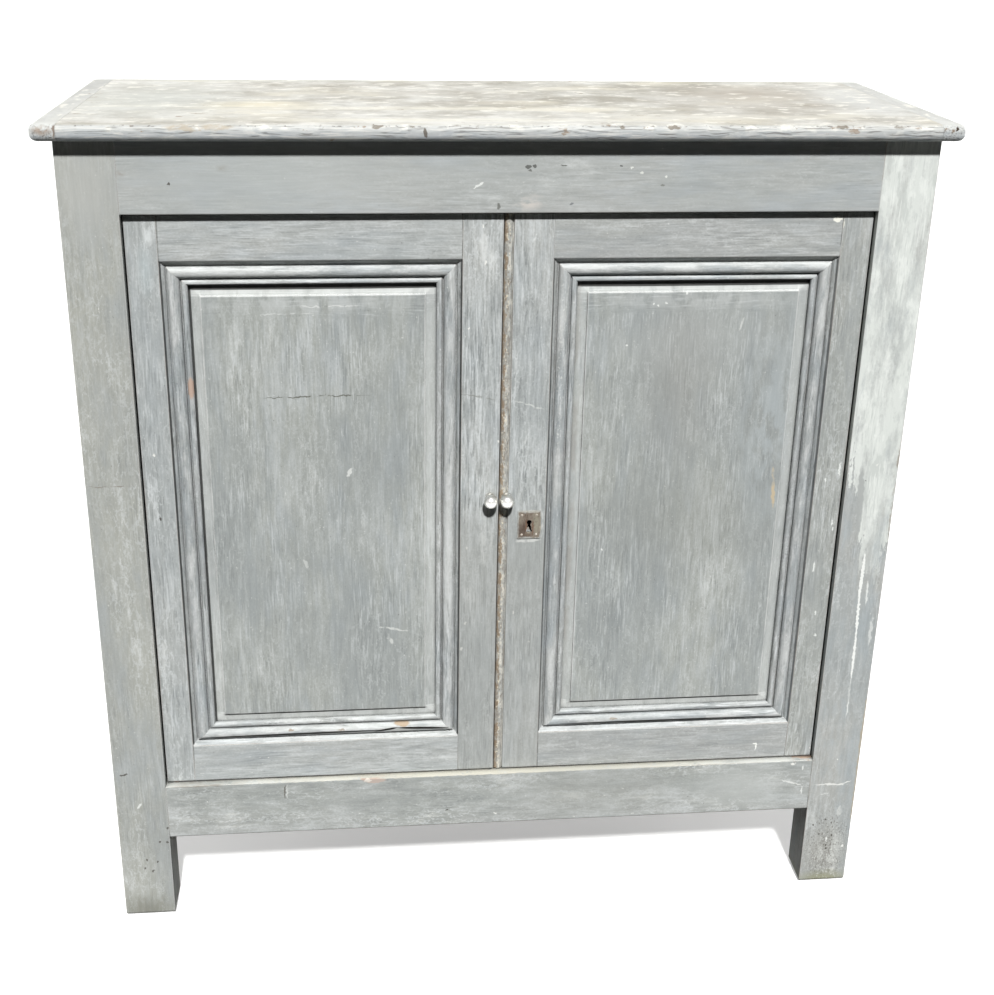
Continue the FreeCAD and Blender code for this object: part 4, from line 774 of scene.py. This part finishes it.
# Knobs, keyhole plate and the iron inside.
dress(polishedNickel("polishedNickelKnobs", nickelPlate), "left_door_knob", "right_door_knob")
keyholePlate = {
    "scale": "#7C7267", "bloom": "#54463B", "rubbed": "#9F9C8D", "pit": "#3C332C", "smear": "#AEB0AC",
    "streaked": 2.5, "scaleMm": 8,
    "marks": (
        ("torn", (30, -171, 648), (8, 9, 17), "#4B3D34", 0.75, 0, 0.2),
        ("torn", (51, -171, 660), (7, 9, 18), "#918E7E", 0.75, 0, 0.3),
        ("torn", (38, -171, 641), (12, 9, 4), "#5A4A3E", 0.7, 0, 0.2),
        ("torn", (36.5, -171, 655), (1.6, 9, 12), "#6A4E3C", 0.8),
        ("torn", (46, -171, 652), (1.6, 9, 13), "#6A4E3C", 0.7),
        ("torn", (42, -171, 678), (15, 9, 2), "#B1AFA8", 0.8),
        ("torn", (24, -171, 668), (2, 9, 9), "#ACADA8", 0.8),
    ),
}
hiddenIron = {"scale": "#4F4640", "bloom": "#6F543F", "rubbed": "#77736E"}
dress(rustedIron("rustedIronPlate", keyholePlate), "keyhole_plate")
dress(rustedIron("rustedIronFittings", hiddenIron), "lock_case", "lock_bolt", "left_door_bolt_plate",
      "left_door_bolt", "upper_pivot_pins", "lower_pivot_pins")
print("top, inside and fittings dressed")

# Domed nails that hold the keyhole plate, knocked in a little crooked.
plateNails = {
    "across": 3.6, "dome": 0.9, "inset": 6.5, "leans": (-9, -3, 3, 9), "around": 16, "rings": 8,
    "scale": "#B9B2A8", "bloom": "#A89784", "rubbed": "#D2CEC6", "scaleMm": 4,
}
low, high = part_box("keyhole_plate")
inset = plateNails["inset"] / 1000
radius = plateNails["across"] / 2000
flat = Matrix.Diagonal((1, plateNails["dome"] / 1000 / radius, 1, 1))
shell = bmesh.new()
corners = [(x, z) for z in (low.z + inset, high.z - inset) for x in (low.x + inset, high.x - inset)]
for (x, z), lean in zip(corners, plateNails["leans"]):
    dome = bmesh.ops.create_uvsphere(shell, u_segments=plateNails["around"], v_segments=plateNails["rings"],
                                     radius=radius)["verts"]
    stand = Matrix.Translation((x, low.y, z)) @ Matrix.Rotation(math.radians(lean), 4, "X")
    bmesh.ops.transform(shell, matrix=stand @ flat, verts=dome)
for face in shell.faces:
    face.smooth = True
mesh = bpy.data.meshes.new("keyholePlateNails")
shell.to_mesh(mesh)
shell.free()
nails = bpy.data.objects.new("keyholePlateNails", mesh)
bpy.context.scene.collection.objects.link(nails)
mesh.materials.append(rustedIron("rubbedIronNails", plateNails))
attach(nails, "right_door")
print("nails made")

# Floor, light and camera.
stageLook = {
    "floor": "#343433", "seen": "#DEDEDC", "glow": 0.36, "across": 60, "drop": 0.0005,
    "room": "#FFFFFF", "sky": 0.012, "mirrored": 0.8,
    "keyStrength": 5.1, "keyAngle": 4, "rimStrength": 1.3, "rimAngle": 40,
    "boxWatts": 24, "boxAcross": 0.9, "boxAt": (2.4, 0.3, 0.85),
}
bpy.ops.mesh.primitive_plane_add(size=stageLook["across"], location=(0, 0, -stageLook["drop"]))
floor = bpy.context.object
floor.name = "paleFloor"
material, add = newMaterial("paleFloor")
ray = add("LightPath")
plain = add("BsdfDiffuse", {"Color": linear(stageLook["floor"])})
bright = add("BsdfDiffuse", {"Color": linear(stageLook["seen"])})
bright = add("AddShader", {0: bright, 1: add("Emission", {"Strength": stageLook["glow"]})})
shown = add("Math", {0: ray.outputs["Is Camera Ray"], 1: ray.outputs["Is Glossy Ray"]}, operation="MAXIMUM")
shown = add("Math", {0: shown, 1: ray.outputs["Is Transmission Ray"]}, operation="MAXIMUM")
add("OutputMaterial", {"Surface": add("MixShader", {0: shown, 1: plain, 2: bright})})
floor.data.materials.append(material)

world = bpy.data.worlds.new("softRoom")
bpy.context.scene.world = world
world.use_nodes = True
world.node_tree.nodes.clear()
add = partial(addNode, world.node_tree)
ray = add("LightPath")
level = add("MapRange", {"Value": ray.outputs["Is Glossy Ray"], "To Min": stageLook["sky"],
                         "To Max": stageLook["mirrored"]})
level = add("Math", {0: level, 1: ray.outputs["Is Camera Ray"]}, operation="MAXIMUM")
room = add("Background", {"Color": linear(stageLook["room"]), "Strength": level})
add("OutputWorld", {"Surface": room})

lampAims = (  # the key stands high in front; the two rims stand low behind, for the ends and the back
    ("softKey", "key", (-0.02, 0.66, -0.75)), ("leftRim", "rim", (0.75, -0.64, -0.16)),
    ("rightRim", "rim", (-0.75, -0.64, -0.16)))
for lampName, kind, aim in lampAims:
    lamp = bpy.data.lights.new(lampName, "SUN")
    lamp.energy = stageLook[kind + "Strength"]
    lamp.angle = math.radians(stageLook[kind + "Angle"])
    lampObject = bpy.data.objects.new(lampName, lamp)
    lampObject.rotation_euler = Vector(aim).to_track_quat("-Z", "Y").to_euler()
    bpy.context.scene.collection.objects.link(lampObject)

# Soft boxes below the top's height and behind the front, so they light the ends alone.
for side, boxName in ((-1, "leftSoftBox"), (1, "rightSoftBox")):
    lamp = bpy.data.lights.new(boxName, "AREA")
    lamp.energy = stageLook["boxWatts"]
    lamp.size = stageLook["boxAcross"]
    lampObject = bpy.data.objects.new(boxName, lamp)
    x, y, z = stageLook["boxAt"]
    aim = Vector((-side, 0, 0)).to_track_quat("-Z", "Y").to_matrix().to_4x4()
    lampObject.matrix_world = Matrix.Translation((side * x, y, z)) @ aim
    lampObject.visible_camera = False
    bpy.context.scene.collection.objects.link(lampObject)

photoCamera = {
    "at": (-0.1811, -1.8539, 1.5132), "pitch": 0.3473, "yaw": -0.0926, "roll": 0.0167,
    "lens": 47.435, "sensor": 36, "shift": (0.0106, -0.1325), "clip": (0.05, 100),
}
yaw, pitch, roll = [photoCamera[key] for key in ("yaw", "pitch", "roll")]
right = Vector((math.cos(yaw), math.sin(yaw), 0))
ahead = Vector((-math.sin(yaw), math.cos(yaw), 0))
forward = ahead * math.cos(pitch) - Vector((0, 0, 1)) * math.sin(pitch)
up = ahead * math.sin(pitch) + Vector((0, 0, 1)) * math.cos(pitch)
sideways = right * math.cos(roll) + up * math.sin(roll)
upright = up * math.cos(roll) - right * math.sin(roll)
lens = bpy.data.cameras.new("photoCamera")
lens.lens = photoCamera["lens"]
lens.sensor_width = photoCamera["sensor"]
lens.shift_x, lens.shift_y = photoCamera["shift"]
lens.clip_start, lens.clip_end = photoCamera["clip"]
camera = bpy.data.objects.new("photoCamera", lens)
turned = Matrix((sideways, upright, -forward)).transposed().to_4x4()
camera.matrix_world = Matrix.Translation(photoCamera["at"]) @ turned
bpy.context.scene.collection.objects.link(camera)
bpy.context.scene.camera = camera
bpy.context.scene.view_settings.view_transform = "Standard"
print("stage, light and camera set")
